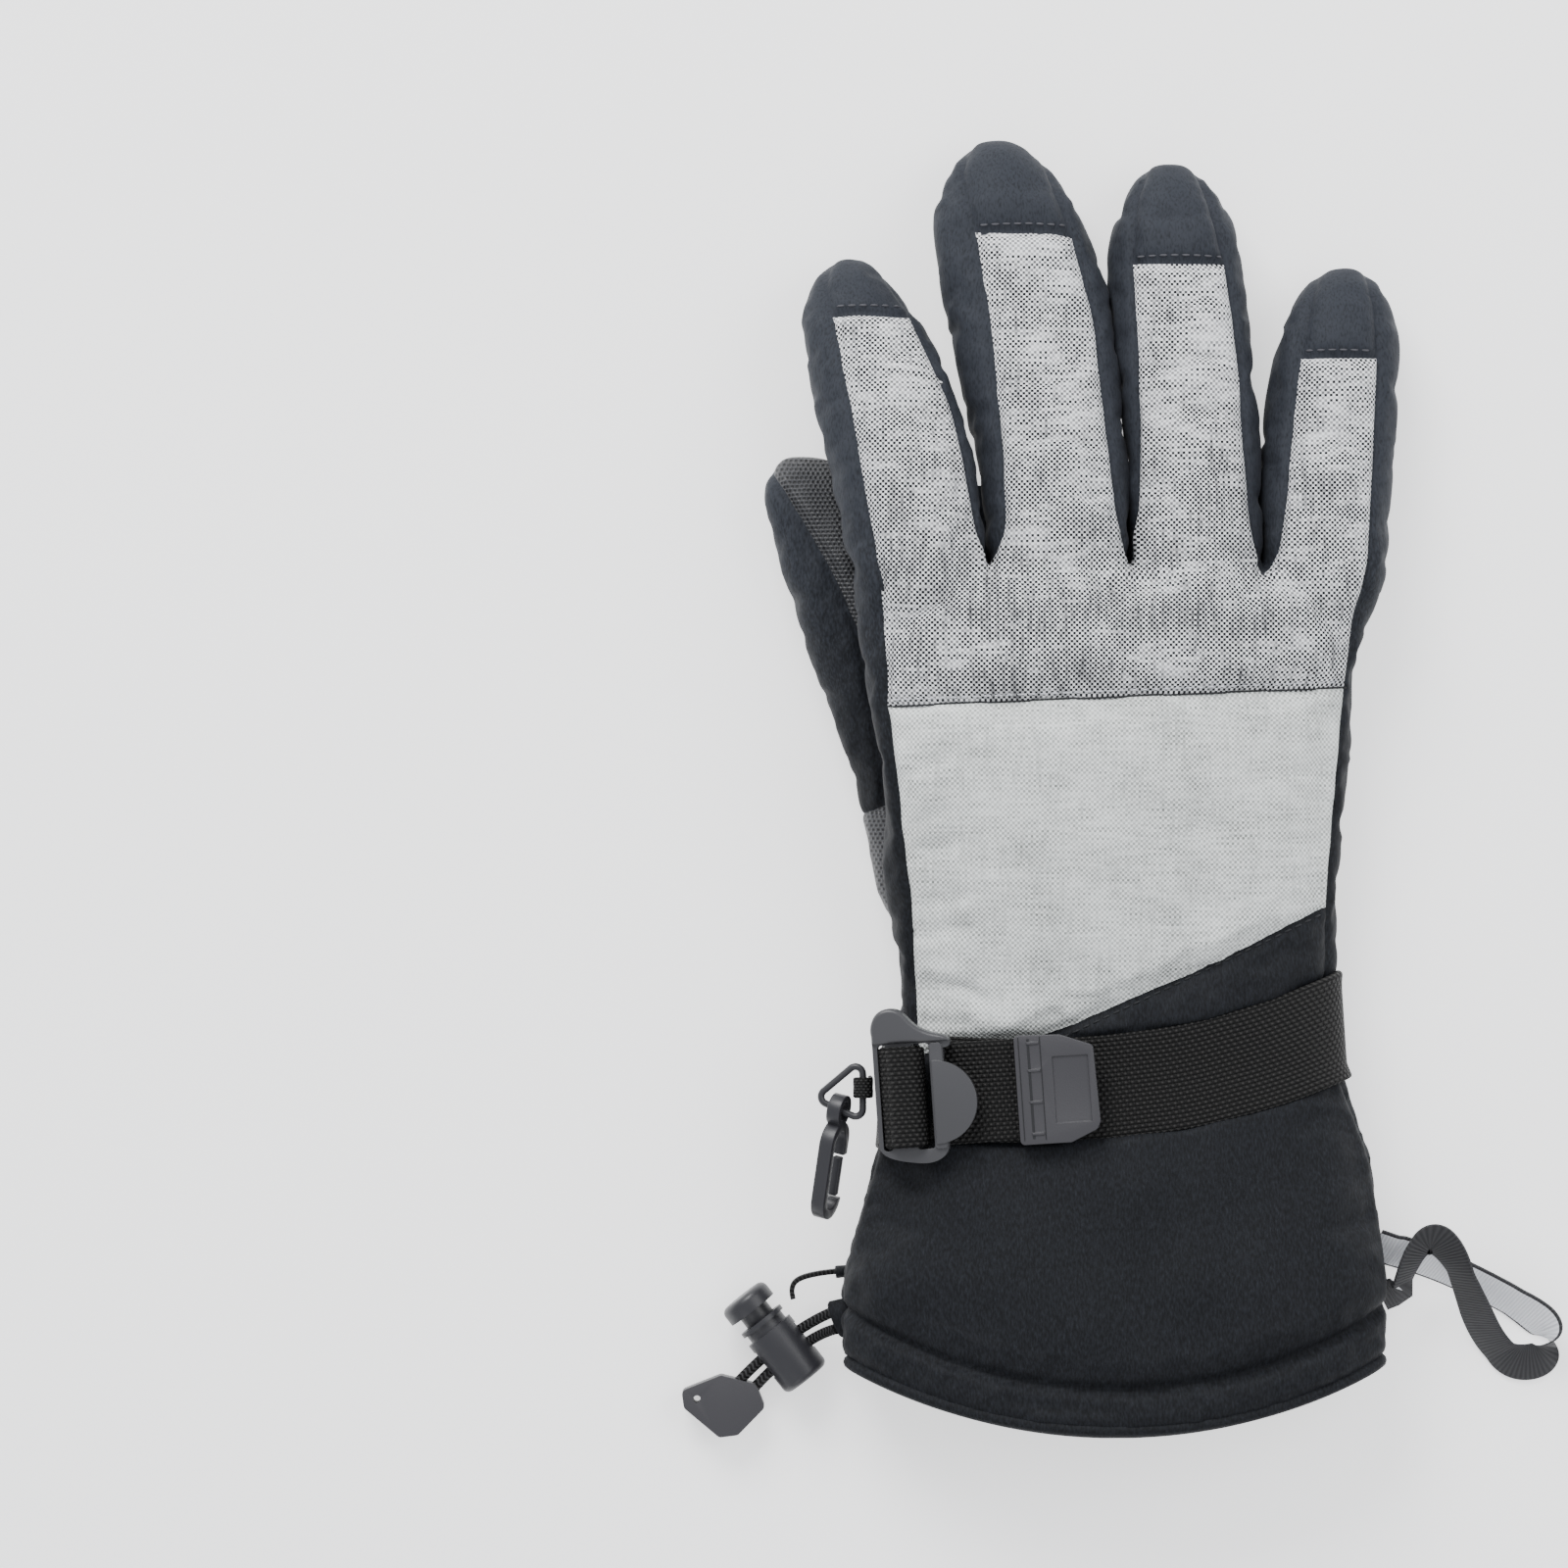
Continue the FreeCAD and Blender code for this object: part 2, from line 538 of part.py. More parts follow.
# Cord lock: its barrel lies on its side, with the button end up and to the left
LOCK_CENTRE = Vector(-72.1, -138.4, 7.2)
LOCK_AXIS = Vector(-0.62, 0.785, 0.0)
LOCK_RADIUS = 6.3
LOCK_FOOT = 9.0           # from the cords to the barrel's closed end
DRAWCORD_A = [Vector(-59.8, -128.6, 13.0), Vector(-66.1, -131.4, 7.8), Vector(-80.3, -142.6, 6.6),
              Vector(-86.0, -149.4, 4.6)]
DRAWCORD_B = [Vector(-59.4, -133.0, 12.4), Vector(-63.9, -134.2, 7.8), Vector(-78.1, -145.4, 6.6),
              Vector(-83.8, -153.2, 4.6)]
LEASH = [Vector(75.4, -113.6, 13.0), Vector(84.0, -116.2, 9.4), Vector(96.0, -121.6, 6.0),
         Vector(107.6, -127.6, 4.2), Vector(115.6, -133.8, 3.4), Vector(114.2, -141.0, 3.4),
         Vector(106.0, -142.2, 3.6), Vector(99.2, -135.4, 5.4), Vector(94.4, -124.0, 12.0),
         Vector(90.2, -114.4, 14.6), Vector(84.8, -109.8, 16.6), Vector(80.0, -115.4, 16.0),
         Vector(77.8, -122.8, 13.2)]


def cord_lock():
    """Barrel, plunger and spring of the cord lock, and the moulded end on the drawcord."""
    up = Vector(0, 0, 1)
    place = FreeCAD.Placement(LOCK_CENTRE, FreeCAD.Rotation(up, LOCK_AXIS.cross(up), LOCK_AXIS, "ZXY"))
    barrel = Part.makeCylinder(LOCK_RADIUS, LOCK_FOOT + 6.0, Vector(0, 0, -LOCK_FOOT))
    barrel = barrel.makeFillet(1.6, [e for e in barrel.Edges if e.Closed and e.CenterOfMass.z < 0])
    neck = Part.makeCylinder(5.2, 2.2, Vector(0, 0, 6.0))
    flange = Part.makeCylinder(6.0, 1.2, Vector(0, 0, 8.2))
    bore = Part.makeCylinder(4.3, 30, Vector(0, 0, -7.8))
    cord_slot = Part.makeBox(4.2, 40, 7.6, Vector(-2.1, -20, -3.8))
    body = barrel.fuse([neck, flange]).removeSplitter().cut(bore).cut(cord_slot)
    save("lock_barrel", placed(body, place))

    stem = Part.makeCylinder(3.9, 17.6, Vector(0, 0, -5.0))
    stem = stem.cut(Part.makeBox(4.4, 40, 10.2, Vector(-2.2, -20, -3.6)))
    head = Part.makeCylinder(6.4, 4.4, Vector(0, 0, 12.4))
    head = head.makeFillet(1.8, [e for e in head.Edges if e.Closed and e.CenterOfMass.z > 16])
    save("lock_plunger", placed(stem.fuse(head).removeSplitter(), place))

    spring = Part.makeCylinder(3.4, 2.1, Vector(0, 0, -7.6)).cut(Part.makeCylinder(2.6, 2.1, Vector(0, 0, -7.6)))
    save("lock_spring", placed(spring, place))

    outline = [(-79.0, -146.8), (-87.6, -144.6), (-97.2, -148.4), (-96.6, -152.6), (-88.0, -159.8),
               (-83.4, -159.2), (-76.8, -152.4)]
    end = prism(outline, 0.8, 8.4)
    end = end.makeFillet(1.4, [e for e in end.Edges if abs(e.tangentAt(e.FirstParameter).z) > 0.9])
    end = end.cut(Part.makeCylinder(0.9, 20, Vector(-93.4, -150.4, -5)))
    save("cord_end", end)


def lock_tether():
    """Flat braid that is sewn into the cuff and holds the cord lock by its neck."""
    outer = [(-59.6, -118.4), (-66.4, -119.0), (-71.8, -122.0), (-70.6, -126.0)]
    inner = [(-69.3, -125.6), (-70.2, -122.6), (-66.0, -120.4), (-59.6, -119.8)]
    save("lock_tether", prism(outer + inner, 8.6, 8.6 + TETHER_WIDTH))


def main():
    """Builds and writes every piece of the glove."""
    bore = gusset_bore()
    hand_solid = hand_and_cuff(bore)
    for name, sections in FINGERS.items():
        finger(name, sections)
    tubes, behind = thumb()
    thumb_gusset(hand_solid, tubes, behind)
    wrist_strap()
    hardware = in_frame(HARDWARE_SLANT_DEG, HARDWARE_RISE_DEG, BUCKLE_CENTRE)
    buckle(hardware)
    strap_tail(hardware)
    ring_and_hook()
    cord_lock()
    cord_tube(DRAWCORD_A, DRAWCORD_D, "drawcord_a")
    cord_tube(DRAWCORD_B, DRAWCORD_D, "drawcord_b")
    lock_tether()
    ribbon_round = 2 * math.sqrt(RIBBON_WIDTH * RIBBON_THICK / math.pi)
    cord_tube(LEASH, ribbon_round, "leash_loop")
    print("strap direction", hardware.Rotation.multVec(Vector(1, 0, 0)))
    print("bar direction", hardware.Rotation.multVec(Vector(0, 1, 0)))
    print("anchor bar at", hardware.multVec(Vector(-11.2, 0, 0)))
    for name, sections in FINGERS.items():
        middle = (sections[0][1] + sections[0][2]) / 2
        print(name, "hinge at", middle, KNUCKLE_Y + JOINT_GAP, hinge_height(sections))


main()
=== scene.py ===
"""Looks of a right-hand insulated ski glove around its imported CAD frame.
Lengths are in mm, and MM turns them into Blender's metres."""
import math

import bmesh
import bpy
import numpy as np
from mathutils import Matrix, Vector
from mathutils.bvhtree import BVHTree
from mathutils.kdtree import KDTree


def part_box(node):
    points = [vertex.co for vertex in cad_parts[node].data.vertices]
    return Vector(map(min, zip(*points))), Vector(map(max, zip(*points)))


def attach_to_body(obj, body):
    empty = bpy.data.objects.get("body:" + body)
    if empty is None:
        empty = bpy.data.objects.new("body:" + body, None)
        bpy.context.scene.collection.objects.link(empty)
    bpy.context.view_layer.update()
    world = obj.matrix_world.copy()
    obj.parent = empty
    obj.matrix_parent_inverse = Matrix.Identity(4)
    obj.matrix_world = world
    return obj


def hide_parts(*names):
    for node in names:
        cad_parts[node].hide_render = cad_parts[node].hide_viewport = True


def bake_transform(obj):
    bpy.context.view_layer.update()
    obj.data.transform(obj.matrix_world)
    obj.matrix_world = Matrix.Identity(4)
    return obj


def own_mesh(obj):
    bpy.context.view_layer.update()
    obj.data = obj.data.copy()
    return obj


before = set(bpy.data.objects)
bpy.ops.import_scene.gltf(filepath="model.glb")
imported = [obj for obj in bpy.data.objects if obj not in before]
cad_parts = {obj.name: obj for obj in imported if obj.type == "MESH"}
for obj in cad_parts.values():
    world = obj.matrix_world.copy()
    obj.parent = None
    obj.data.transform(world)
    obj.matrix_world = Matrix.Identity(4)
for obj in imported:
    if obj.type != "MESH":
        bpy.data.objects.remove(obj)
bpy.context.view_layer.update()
MM = 0.001
FLOOR_CLEAR = 0.2             # soft skin above the surface that the glove lies on
CAMERA_TO_BACK = 1.985        # m, from the camera to the back of the hand
PICTURE_WIDTH = 0.3808        # m, what the picture takes in there
SKIN_PITCH = 1.9              # grid of the fabric skins before they are divided once more
PIT_PITCH = 1.0               # rows of the embossed palm
SETTLE_SCALE = 100            # millimetres to a metre of the cloth simulation
SETTLE_FRAMES = 22
SWELL_LIMIT = 2.2             # how far the padding may swell past the sewn shape

# ---------------------------------------------------------------- shape of the glove, as in the CAD
HAND = np.array((
    (50.0, -56.8, 72.8, 31.5, 18.6, 12.0, 13.2, 2.0),
    (28.0, -53.0, 66.2, 32.5, 17.8, 13.0, 15.0, 3.5),
    (4.0, -49.0, 64.6, 32.0, 16.8, 13.0, 15.5, 3.8),
    (-25.0, -47.5, 61.6, 24.0, 15.8, 14.5, 15.2, 3.2),
    (-50.0, -44.0, 61.4, 16.8, 15.2, 14.5, 14.6, 2.4),
    (-68.0, -45.0, 62.6, 15.4, 15.0, 14.8, 14.6, 1.8),
    (-90.0, -50.6, 70.6, 16.2, 16.0, 15.8, 15.8, 1.8),
    (-120.0, -58.4, 74.4, 18.3, 18.3, 18.0, 18.0, 2.0),
    (-159.0, -57.6, 73.6, 18.6, 18.6, 18.4, 18.4, 2.2)))[::-1]
FINGERS = {
    "index": ((50, -56.2, -23, 31.5, 12.2), (78, -62.2, -26.2, 27.5, 13), (97, -65.7, -31.3, 22.5, 13.2),
              (113, -68.3, -40.3, 16, 12.6), (122.5, -65.5, -46.5, 13.2, 9.6), (127.4, -60.5, -52, 12.2, 5)),
    "middle": ((50, -21.9, 10.8, 26, 14), (78, -24.8, 10.2, 22.6, 14.6), (97, -29.8, 8.4, 19.6, 14.6),
               (118, -34.2, 6.3, 16, 14.2), (140, -35.9, -1, 13, 12.6), (151, -31.5, -8.2, 11.8, 9.4),
               (156.4, -25.5, -14.8, 11.4, 4.8)),
    "ring": ((50, 12, 42.8, 23, 14), (80, 11.4, 42.6, 19.4, 14.2), (110, 8, 41, 15.4, 13.8),
             (133, 7.4, 37.4, 13.2, 12.8), (145.5, 11.2, 32, 12, 9.6), (150.9, 16.8, 25.6, 11.6, 4.8)),
    "little": ((50, 44.1, 72.6, 19.2, 13.4), (80, 44.2, 75.4, 15.8, 13.2), (103, 45.8, 77.2, 13.2, 12.6),
               (115, 49.6, 76.8, 12.4, 11.4), (121.5, 54.6, 73.2, 11.8, 8.4), (125.6, 59.8, 68.6, 11.4, 4.4))}
THUMB = ((-46, -40, -14, 12, 5), (-26, -50, -14, 10.6, 8.4), (-12, -52.5, -16, 10, 9),
         (4.5, -56.6, -25, 9.8, 9), (18, -60.8, -32.8, 10, 9), (35, -67.7, -39.8, 10.6, 9.8),
         (54.5, -73.4, -46.6, 10.8, 9.9),
         (70, -77.5, -53, 10.6, 9.3), (76, -75.8, -57, 10.4, 6.8), (79.2, -72.6, -62.4, 10.2, 3.6))
THUMB_PIVOT = np.array((-57.6, -2.0))
THUMB_AXIS = np.array((-0.36, 0.933))
THUMB_BACK = 7.0               # the thumb's fabric starts this far before its pivot
THUMB_NAMES = ("thumb_palm_wrap", "thumb_back", "thumb_gusset")
# The back strip's left and right edge up each finger as (x, y), and the y of the seam to the cap
STRIPS = {
    "index": (((-47.9, 30), (-49, 47), (-51.7, 61), (-55.9, 86), (-60.6, 112), (-62.5, 120), (-60, 131)),
              ((-22.5, 53), (-25.4, 60), (-28.6, 78), (-32, 92), (-42, 114), (-47, 121), (-52, 131)), 113.2),
    "middle": (((-22.5, 53), (-19.6, 61), (-20, 78), (-22.5, 109), (-26, 132), (-29.5, 147), (-26, 160)),
               ((10.8, 53.5), (8.6, 64), (5.6, 88), (3, 113), (-2.7, 134), (-7.6, 147), (-14, 160)), 133.0),
    "ring": (((10.8, 53.5), (13, 67), (13, 99), (11.6, 124), (12.6, 140), (18, 155)),
             ((43.3, 50), (41, 61), (39.4, 78), (38, 103), (34.6, 127), (31, 141), (25, 155)), 125.4),
    "little": (((43.3, 50), (46.4, 55), (48.8, 69), (50.2, 88), (52.7, 104), (55.5, 118), (60, 130)),
               ((66, 40), (69.4, 53), (70.8, 78), (71.8, 101), (71.5, 114), (68, 130)), 102.6)}
CAP_BOW = 0.0035               # how the seams to the caps curve
CUFF_SEAM_Y = -66.0
HEM_ARC = (7.5, -27.6, 128.8)
HEM_SEAM_ARC = (7.5, -22.0, 124.0)
STRAP_LINE = ((-60, -72.4), (-31, -73.9), (-18, -74.5), (3, -73.8), (24, -71.2), (45, -65.8),
              (63, -59), (80, -51.8))
SPLIT_Y = 46.0                 # fingers follow the hand below this
# Lines in plan that part neighbouring fingers, as (y, x)
PARTINGS = (((50, -22.5), (64, -23.6), (78, -25.6), (97, -30.6), (113, -37.4), (127, -44), (160, -47)),
            ((50, 11.3), (78, 10.8), (97, 9.3), (118, 7), (133, 4), (160, 2)),
            ((50, 43.4), (80, 43.4), (103, 43.4), (118, 44.6), (130, 47), (160, 50)))


def lerp_rows(table, y):
    """Rows of a section table at each y."""
    table = np.asarray(table, float)
    return np.stack([np.interp(y, table[:, 0], table[:, k]) for k in range(1, table.shape[1])], -1)


def oval(row, y, turn, inset=0.0, power=2.7):
    """Points of a cross-section: row is left, right, z_left, z_right, h_left, h_right, crown."""
    left, right, z_left, z_right, h_left, h_right, crown = [row[..., k] for k in range(7)]
    c, s = np.cos(turn), np.sin(turn)
    u = np.sign(c) * np.abs(c) ** (2 / power)
    v = np.sign(s) * np.abs(s) ** (2 / power)
    t = (u + 1) / 2
    bulge = np.where(v > 0, crown * (1 - u * u), 0)
    half = (right - left) / 2 - inset
    height = h_left + (h_right - h_left) * t + bulge - inset
    z = z_left + (z_right - z_left) * t + v * height
    return np.stack([(left + right) / 2 + half * u, y + 0 * u, z], -1)


def smoothed(table, step=3.0, passes=3):
    """A section table resampled along y with its corners eased."""
    table = np.asarray(table, float)
    y = np.linspace(table[0, 0], table[-1, 0], int(abs(table[-1, 0] - table[0, 0]) / step) + 2)
    rows = lerp_rows(table, y)
    for _ in range(passes):
        rows[1:-1] = (rows[:-2] + 2 * rows[1:-1] + rows[2:]) / 4
    return np.column_stack([y, rows])


def lengths(points):
    """How far along a line each of its points lies."""
    return np.concatenate([[0], np.cumsum(np.linalg.norm(np.diff(points, axis=0), axis=1))])


def across_at(line, y):
    """The x at y of a line in plan whose points are (y, x)."""
    return np.interp(y, *np.transpose(line))


def side_at(line, y):
    """The x at y of a line in plan whose points are (x, y)."""
    return np.interp(y, [q[1] for q in line], [q[0] for q in line])


def grid_faces(rows, columns, closed=True):
    """Quads of a grid of rows x columns points, closed across its columns."""
    i, j = np.meshgrid(np.arange(rows - 1), np.arange(columns if closed else columns - 1), indexing="ij")
    k = (j + 1) % columns
    quads = np.stack([i * columns + j, i * columns + k, (i + 1) * columns + k, (i + 1) * columns + j], -1)
    return quads.reshape(-1, 4).tolist()


def tube_faces(rows, columns):
    """Faces of a closed tube with both of its ends."""
    last = (rows - 1) * columns
    return grid_faces(rows, columns) + [list(range(columns))[::-1], [last + k for k in range(columns)]]


def tube(table, power, around=64, step=2.0):
    """A closed lofted tube through a section table."""
    rows = smoothed(table, step)
    turn = 2 * np.pi * (np.arange(around) + 0.5) / around
    points = np.stack([oval(r[1:], r[0], turn, 0, power) for r in rows])
    return points.reshape(-1, 3), tube_faces(len(rows), around)


def full_rows(sections):
    """Finger sections y, left, right, z, half thickness as full section rows."""
    return [(y, left, right, z, z, h, h, 0.0) for y, left, right, z, h in sections]


def new_mesh(name, points, faces):
    mesh = bpy.data.meshes.new(name)
    mesh.from_pydata(np.asarray(points, float).reshape(-1, 3).tolist(), [], faces)
    mesh.update()
    return mesh


def new_object(name, points, faces, scale=1.0):
    thing = bpy.data.objects.new(name, new_mesh(name, np.asarray(points, float) * scale, faces))
    bpy.context.scene.collection.objects.link(thing)
    return thing


def evaluated(thing):
    """Points and faces of an object after its modifiers."""
    graph = bpy.context.evaluated_depsgraph_get()
    mesh = thing.evaluated_get(graph).to_mesh()
    points = np.empty(len(mesh.vertices) * 3)
    mesh.vertices.foreach_get("co", points)
    faces = [tuple(p.vertices) for p in mesh.polygons]
    thing.evaluated_get(graph).to_mesh_clear()
    return points.reshape(-1, 3), faces


def modified(points, faces, kind, **settings):
    """Points and faces of a mesh after one modifier."""
    thing = new_object("work", points, faces)
    modifier = thing.modifiers.new("work", kind)
    for key, value in settings.items():
        setattr(modifier, key, value)
    result = evaluated(thing)
    bpy.data.objects.remove(thing)
    return result


def remeshed(parts, voxel):
    """One even quad skin around several closed tubes."""
    points, faces, base = [], [], 0
    for p, f in parts:
        points.append(p)
        faces += [[k + base for k in face] for face in f]
        base += len(p)
    return modified(np.concatenate(points), faces, "REMESH", mode="VOXEL", voxel_size=voxel)


def edges_of(faces):
    pairs = np.array([(f[k], f[(k + 1) % len(f)]) for f in faces for k in range(len(f))])
    return np.unique(np.sort(pairs, 1), axis=0)


def neighbour_sum(points, edges):
    """The sum of each point's neighbours."""
    total = np.zeros_like(points)
    np.add.at(total, edges[:, 0], points[edges[:, 1]])
    np.add.at(total, edges[:, 1], points[edges[:, 0]])
    return total


def relax(points, edges, passes, share=0.5, keep=None):
    """Laplacian smoothing; keep marks points that stay."""
    points = points.copy()
    count = np.bincount(edges.ravel(), minlength=len(points))[:, None]
    for _ in range(passes):
        step = (neighbour_sum(points, edges) / np.maximum(count, 1) - points) * share
        if keep is not None:
            step[keep] = 0
        points += step
    return points


def finger_of(x, y):
    """0 to 3 for index to little."""
    return sum((x > across_at(line, y)).astype(int) for line in PARTINGS)


def narrowing(y):
    t = np.clip((y - 50) / 10, 0, 1)
    return 1 - 0.2 * t * t * (3 - 2 * t)


def glove_skin():
    """Outer skin of the hand, cuff and fingers, with the fingers parted right down to their crotches."""
    parts = [tube(HAND, 2.7, around=160)]
    centres = []
    for sections in FINGERS.values():
        _, left, right, z, h = sections[0]
        root = [(38.0, left + 4, right - 7, z, h - 3), (45.0, left + 1, right - 2, z, h - 0.8)]
        rows = full_rows([*root, *sections])
        points, faces = tube(rows, 2.3)
        centre = lerp_rows([(r[0], (r[1] + r[2]) / 2) for r in rows], points[:, 1])[:, 0]
        points[:, 0] = centre + (points[:, 0] - centre) * narrowing(points[:, 1])
        centres.append([(r[0], (r[1] + r[2]) / 2) for r in rows])
        parts.append((points, faces))
    points, faces = remeshed(parts, SKIN_PITCH)
    which = finger_of(points[:, 0], points[:, 1])
    for k in range(4):
        mine = (which == k) & (points[:, 1] > 50)
        centre = lerp_rows(centres[k], points[mine, 1])[:, 0]
        points[mine, 0] = centre + (points[mine, 0] - centre) / narrowing(points[mine, 1])
    edges = edges_of(faces)
    points = relax(points, edges, 4)
    tips = np.array([sections[-1][0] for sections in FINGERS.values()])
    return relax(points, edges, 14, 0.5, points[:, 1] < tips[which] - 15), faces


def wave(p, length, seed):
    """Smooth pseudo-random field in -1..1 with features of about the given length."""
    rng = np.random.RandomState(seed)
    total = 0
    for _ in range(7):
        way = rng.normal(size=3)
        way /= np.linalg.norm(way)
        total = total + np.sin(p @ way * (2 * np.pi / (length * rng.uniform(0.7, 1.5))) + rng.uniform(0, 6.3))
    return total / 7 * 1.9


def cross_side(p, a, b):
    """Positive to the left of the line from a to b, in plan."""
    return (b[0] - a[0]) * (p[:, 1] - a[1]) - (b[1] - a[1]) * (p[:, 0] - a[0])


def mid_height(p):
    """Height that parts the back of the hand from the palm."""
    row = lerp_rows(HAND, p[:, 1])
    t = np.clip((p[:, 0] - row[:, 0]) / (row[:, 1] - row[:, 0]), 0, 1)
    return row[:, 2] + (row[:, 3] - row[:, 2]) * t


def beyond(p, arc):
    """How far outside a plan arc a point lies."""
    return np.hypot(p[:, 0] - arc[0], p[:, 1] - arc[1]) - arc[2]


LABELS = ["cut_off", "hem_back", "hem_palm", "cuff_back", "cuff_palm", "wrist_shirring", "palm_panel",
          "radial_side_panel", "ulnar_side_panel", "knuckle_panel", "back_panel", "wrist_wedge"]
for _finger in FINGERS:
    LABELS += [_finger + part for part in ("_back_strip", "_fingertip", "_fourchettes", "_palm_strip")]
CODE = {name: k for k, name in enumerate(LABELS)}


def hand_labels(p):
    """Which panel each point of the glove skin belongs to."""
    label = np.full(len(p), -1)
    x, y, z = p.T
    top = z > mid_height(p)

    def put(mask, name):
        label[mask & (label < 0)] = CODE[name]

    hem = beyond(p, HEM_SEAM_ARC) > 0
    cuff = y < CUFF_SEAM_Y
    put(cuff & (beyond(p, HEM_ARC) > 0), "cut_off")
    put(cuff & hem & (z > 20), "hem_back")
    put(cuff & hem, "hem_palm")
    put(cuff & (z > 20), "cuff_back")
    put(cuff, "cuff_palm")
    hand = y < SPLIT_Y
    seam_left = np.interp(y, (-66, -30, 18.1, 30, 50), (-40.2, -42, -47.7, -48.2, -49.4))
    seam_right = np.interp(y, (-66, -30, 20, 40, 50), (59.6, 59.6, 63.5, 66, 68.6))
    above_seam = cross_side(p, (-47.7, 18.1), (63.5, 22.6)) > 0
    inside = top & (x > seam_left) & (x < seam_right)
    diagonal = y > np.interp(x, (-39.5, -10.1, 30, 59.6), (-66, -61.6, -44.6, -30))
    put(hand & inside & above_seam, "knuckle_panel")
    put(hand & inside & diagonal, "back_panel")
    put(hand & inside, "wrist_wedge")
    palm_left = np.interp(y, (-66, -50, -20, 4, 50), (-39, -39, -42, -43, -50))
    palm_right = np.interp(y, (-66, -50, -30, 50), (57, 57, 59, 64))
    palm = ~top & (x > palm_left) & (x < palm_right)
    put(hand & palm & (y < -50), "wrist_shirring")
    put(hand & palm, "palm_panel")
    put(hand & (x < 0), "radial_side_panel")
    put(hand, "ulnar_side_panel")
    which = finger_of(x, y)
    below_crotch = (y < np.interp(x, (-22.5, 10.9, 43.3), (53.6, 54.2, 50.4))) & \
        (np.min([np.abs(x - across_at(line, y)) for line in PARTINGS], axis=0) < 5)
    for k, (name, sections) in enumerate(FINGERS.items()):
        mine = ~hand & (which == k)
        row = lerp_rows(sections, y)
        middle, half = (row[:, 0] + row[:, 1]) / 2, (row[:, 1] - row[:, 0]) / 2 - 4.5
        left, right, cap_y = STRIPS[name]
        over = (x > side_at(left, y)) & (x < side_at(right, y))
        over = mine & (z > row[:, 2]) & (over | below_crotch)
        put(over & (y > cap_y - CAP_BOW * (x - middle) ** 2), name + "_fingertip")
        put(over, name + "_back_strip")
        tip = sections[-1][0] - 7
        round_end = np.where(y > tip - 10, (y - tip + 10) / 10, 0)
        reach = half * np.sqrt(np.clip(1 - round_end ** 2, 0, 1))
        under = mine & (z < row[:, 2] - 2) & (np.abs(x - middle) < reach)
        put(under, name + "_palm_strip")
        put(mine, name + "_fourchettes")
    return label


def strap_centre(x):
    """The y of the wrist strap's centre line at each x."""
    line = np.array(STRAP_LINE)
    return sum(np.interp(x + shift, line[:, 0], line[:, 1]) for shift in (-6, -3, 0, 3, 6)) / 5


def strap_cover(p):
    """How far inside the wrist strap's band a point lies, in mm; negative outside it."""
    x, y, z = p.T
    centre = strap_centre(x)
    inside = 13.2 - np.abs(y - centre)
    covered = (z > 17) & (x > -40) | (x > 50) & (z > 0)
    return np.where(covered, inside, -20)


# ---------------------------------------------------------------- camera, light and floor
def camera_and_light():
    """Straight down on the glove from far off, in even soft light on a pale floor."""
    scene = bpy.context.scene
    data = bpy.data.cameras.new("camera")
    camera = bpy.data.objects.new("camera", data)
    scene.collection.objects.link(camera)
    camera.location = (-0.0722, -0.0005, 2.0)
    data.sensor_width = 36
    data.lens = data.sensor_width * CAMERA_TO_BACK / PICTURE_WIDTH
    data.clip_end = 20
    scene.camera = camera
    world = bpy.data.worlds.new("world")
    scene.world = world
    world.use_nodes = True
    world.node_tree.nodes["Background"].inputs[0].default_value = (0.93, 0.95, 1.0, 1)
    world.node_tree.nodes["Background"].inputs[1].default_value = 0.8
    for name, place, size, power in (("key", (-0.5, 1.15, 1.0), 0.8, 26), ("fill", (0.9, 0.3, 1.2), 0.9, 8),
                                     ("low", (-0.3, -1.1, 0.8), 0.6, 2)):
        lamp = bpy.data.lights.new(name, "AREA")
        lamp.size = size
        lamp.energy = power
        thing = bpy.data.objects.new(name, lamp)
        scene.collection.objects.link(thing)
        thing.location = place
        thing.rotation_euler = (Vector((0, 0, 0)) - Vector(place)).to_track_quat("-Z", "Y").to_euler()
    floor = new_object("floor", [(-3000, -3000, 0), (3000, -3000, 0), (3000, 3000, 0), (-3000, 3000, 0)],
                       [(0, 1, 2, 3)], MM)
    floor.data.materials.append(shader("floor", (0.92, 0.92, 0.92), 0.9, Emission_Color=(1, 1, 1, 1),
                                       Emission_Strength=1.0)[0])


# ---------------------------------------------------------------- materials
def shader(name, colour, roughness, **sockets):
    """A Principled material and its tree; sockets are further shader values, spaces as underscores."""
    material = bpy.data.materials.new(name)
    material.use_nodes = True
    tree = material.node_tree
    shade = tree.nodes["Principled BSDF"]
    shade.inputs["Base Color"].default_value = (*colour, 1)
    shade.inputs["Roughness"].default_value = roughness
    for key, value in sockets.items():
        shade.inputs[key.replace("_", " ")].default_value = value
    return material, tree, shade


def node(tree, kind, settings=None, **inputs):
    """Adds a node; inputs are values or sockets, named by the socket's name or by i0, i1..."""
    made_node = tree.nodes.new("ShaderNode" + kind)
    for key, value in (settings or {}).items():
        setattr(made_node, key, value)
    for key, value in inputs.items():
        numbered = key[0] == "i" and key[1:].isdigit()
        socket = made_node.inputs[int(key[1:]) if numbered else key.replace("_", " ")]
        value = getattr(value, "socket", value)
        if isinstance(value, bpy.types.NodeSocket):
            tree.links.new(value, socket)
        else:
            socket.default_value = value
    return made_node


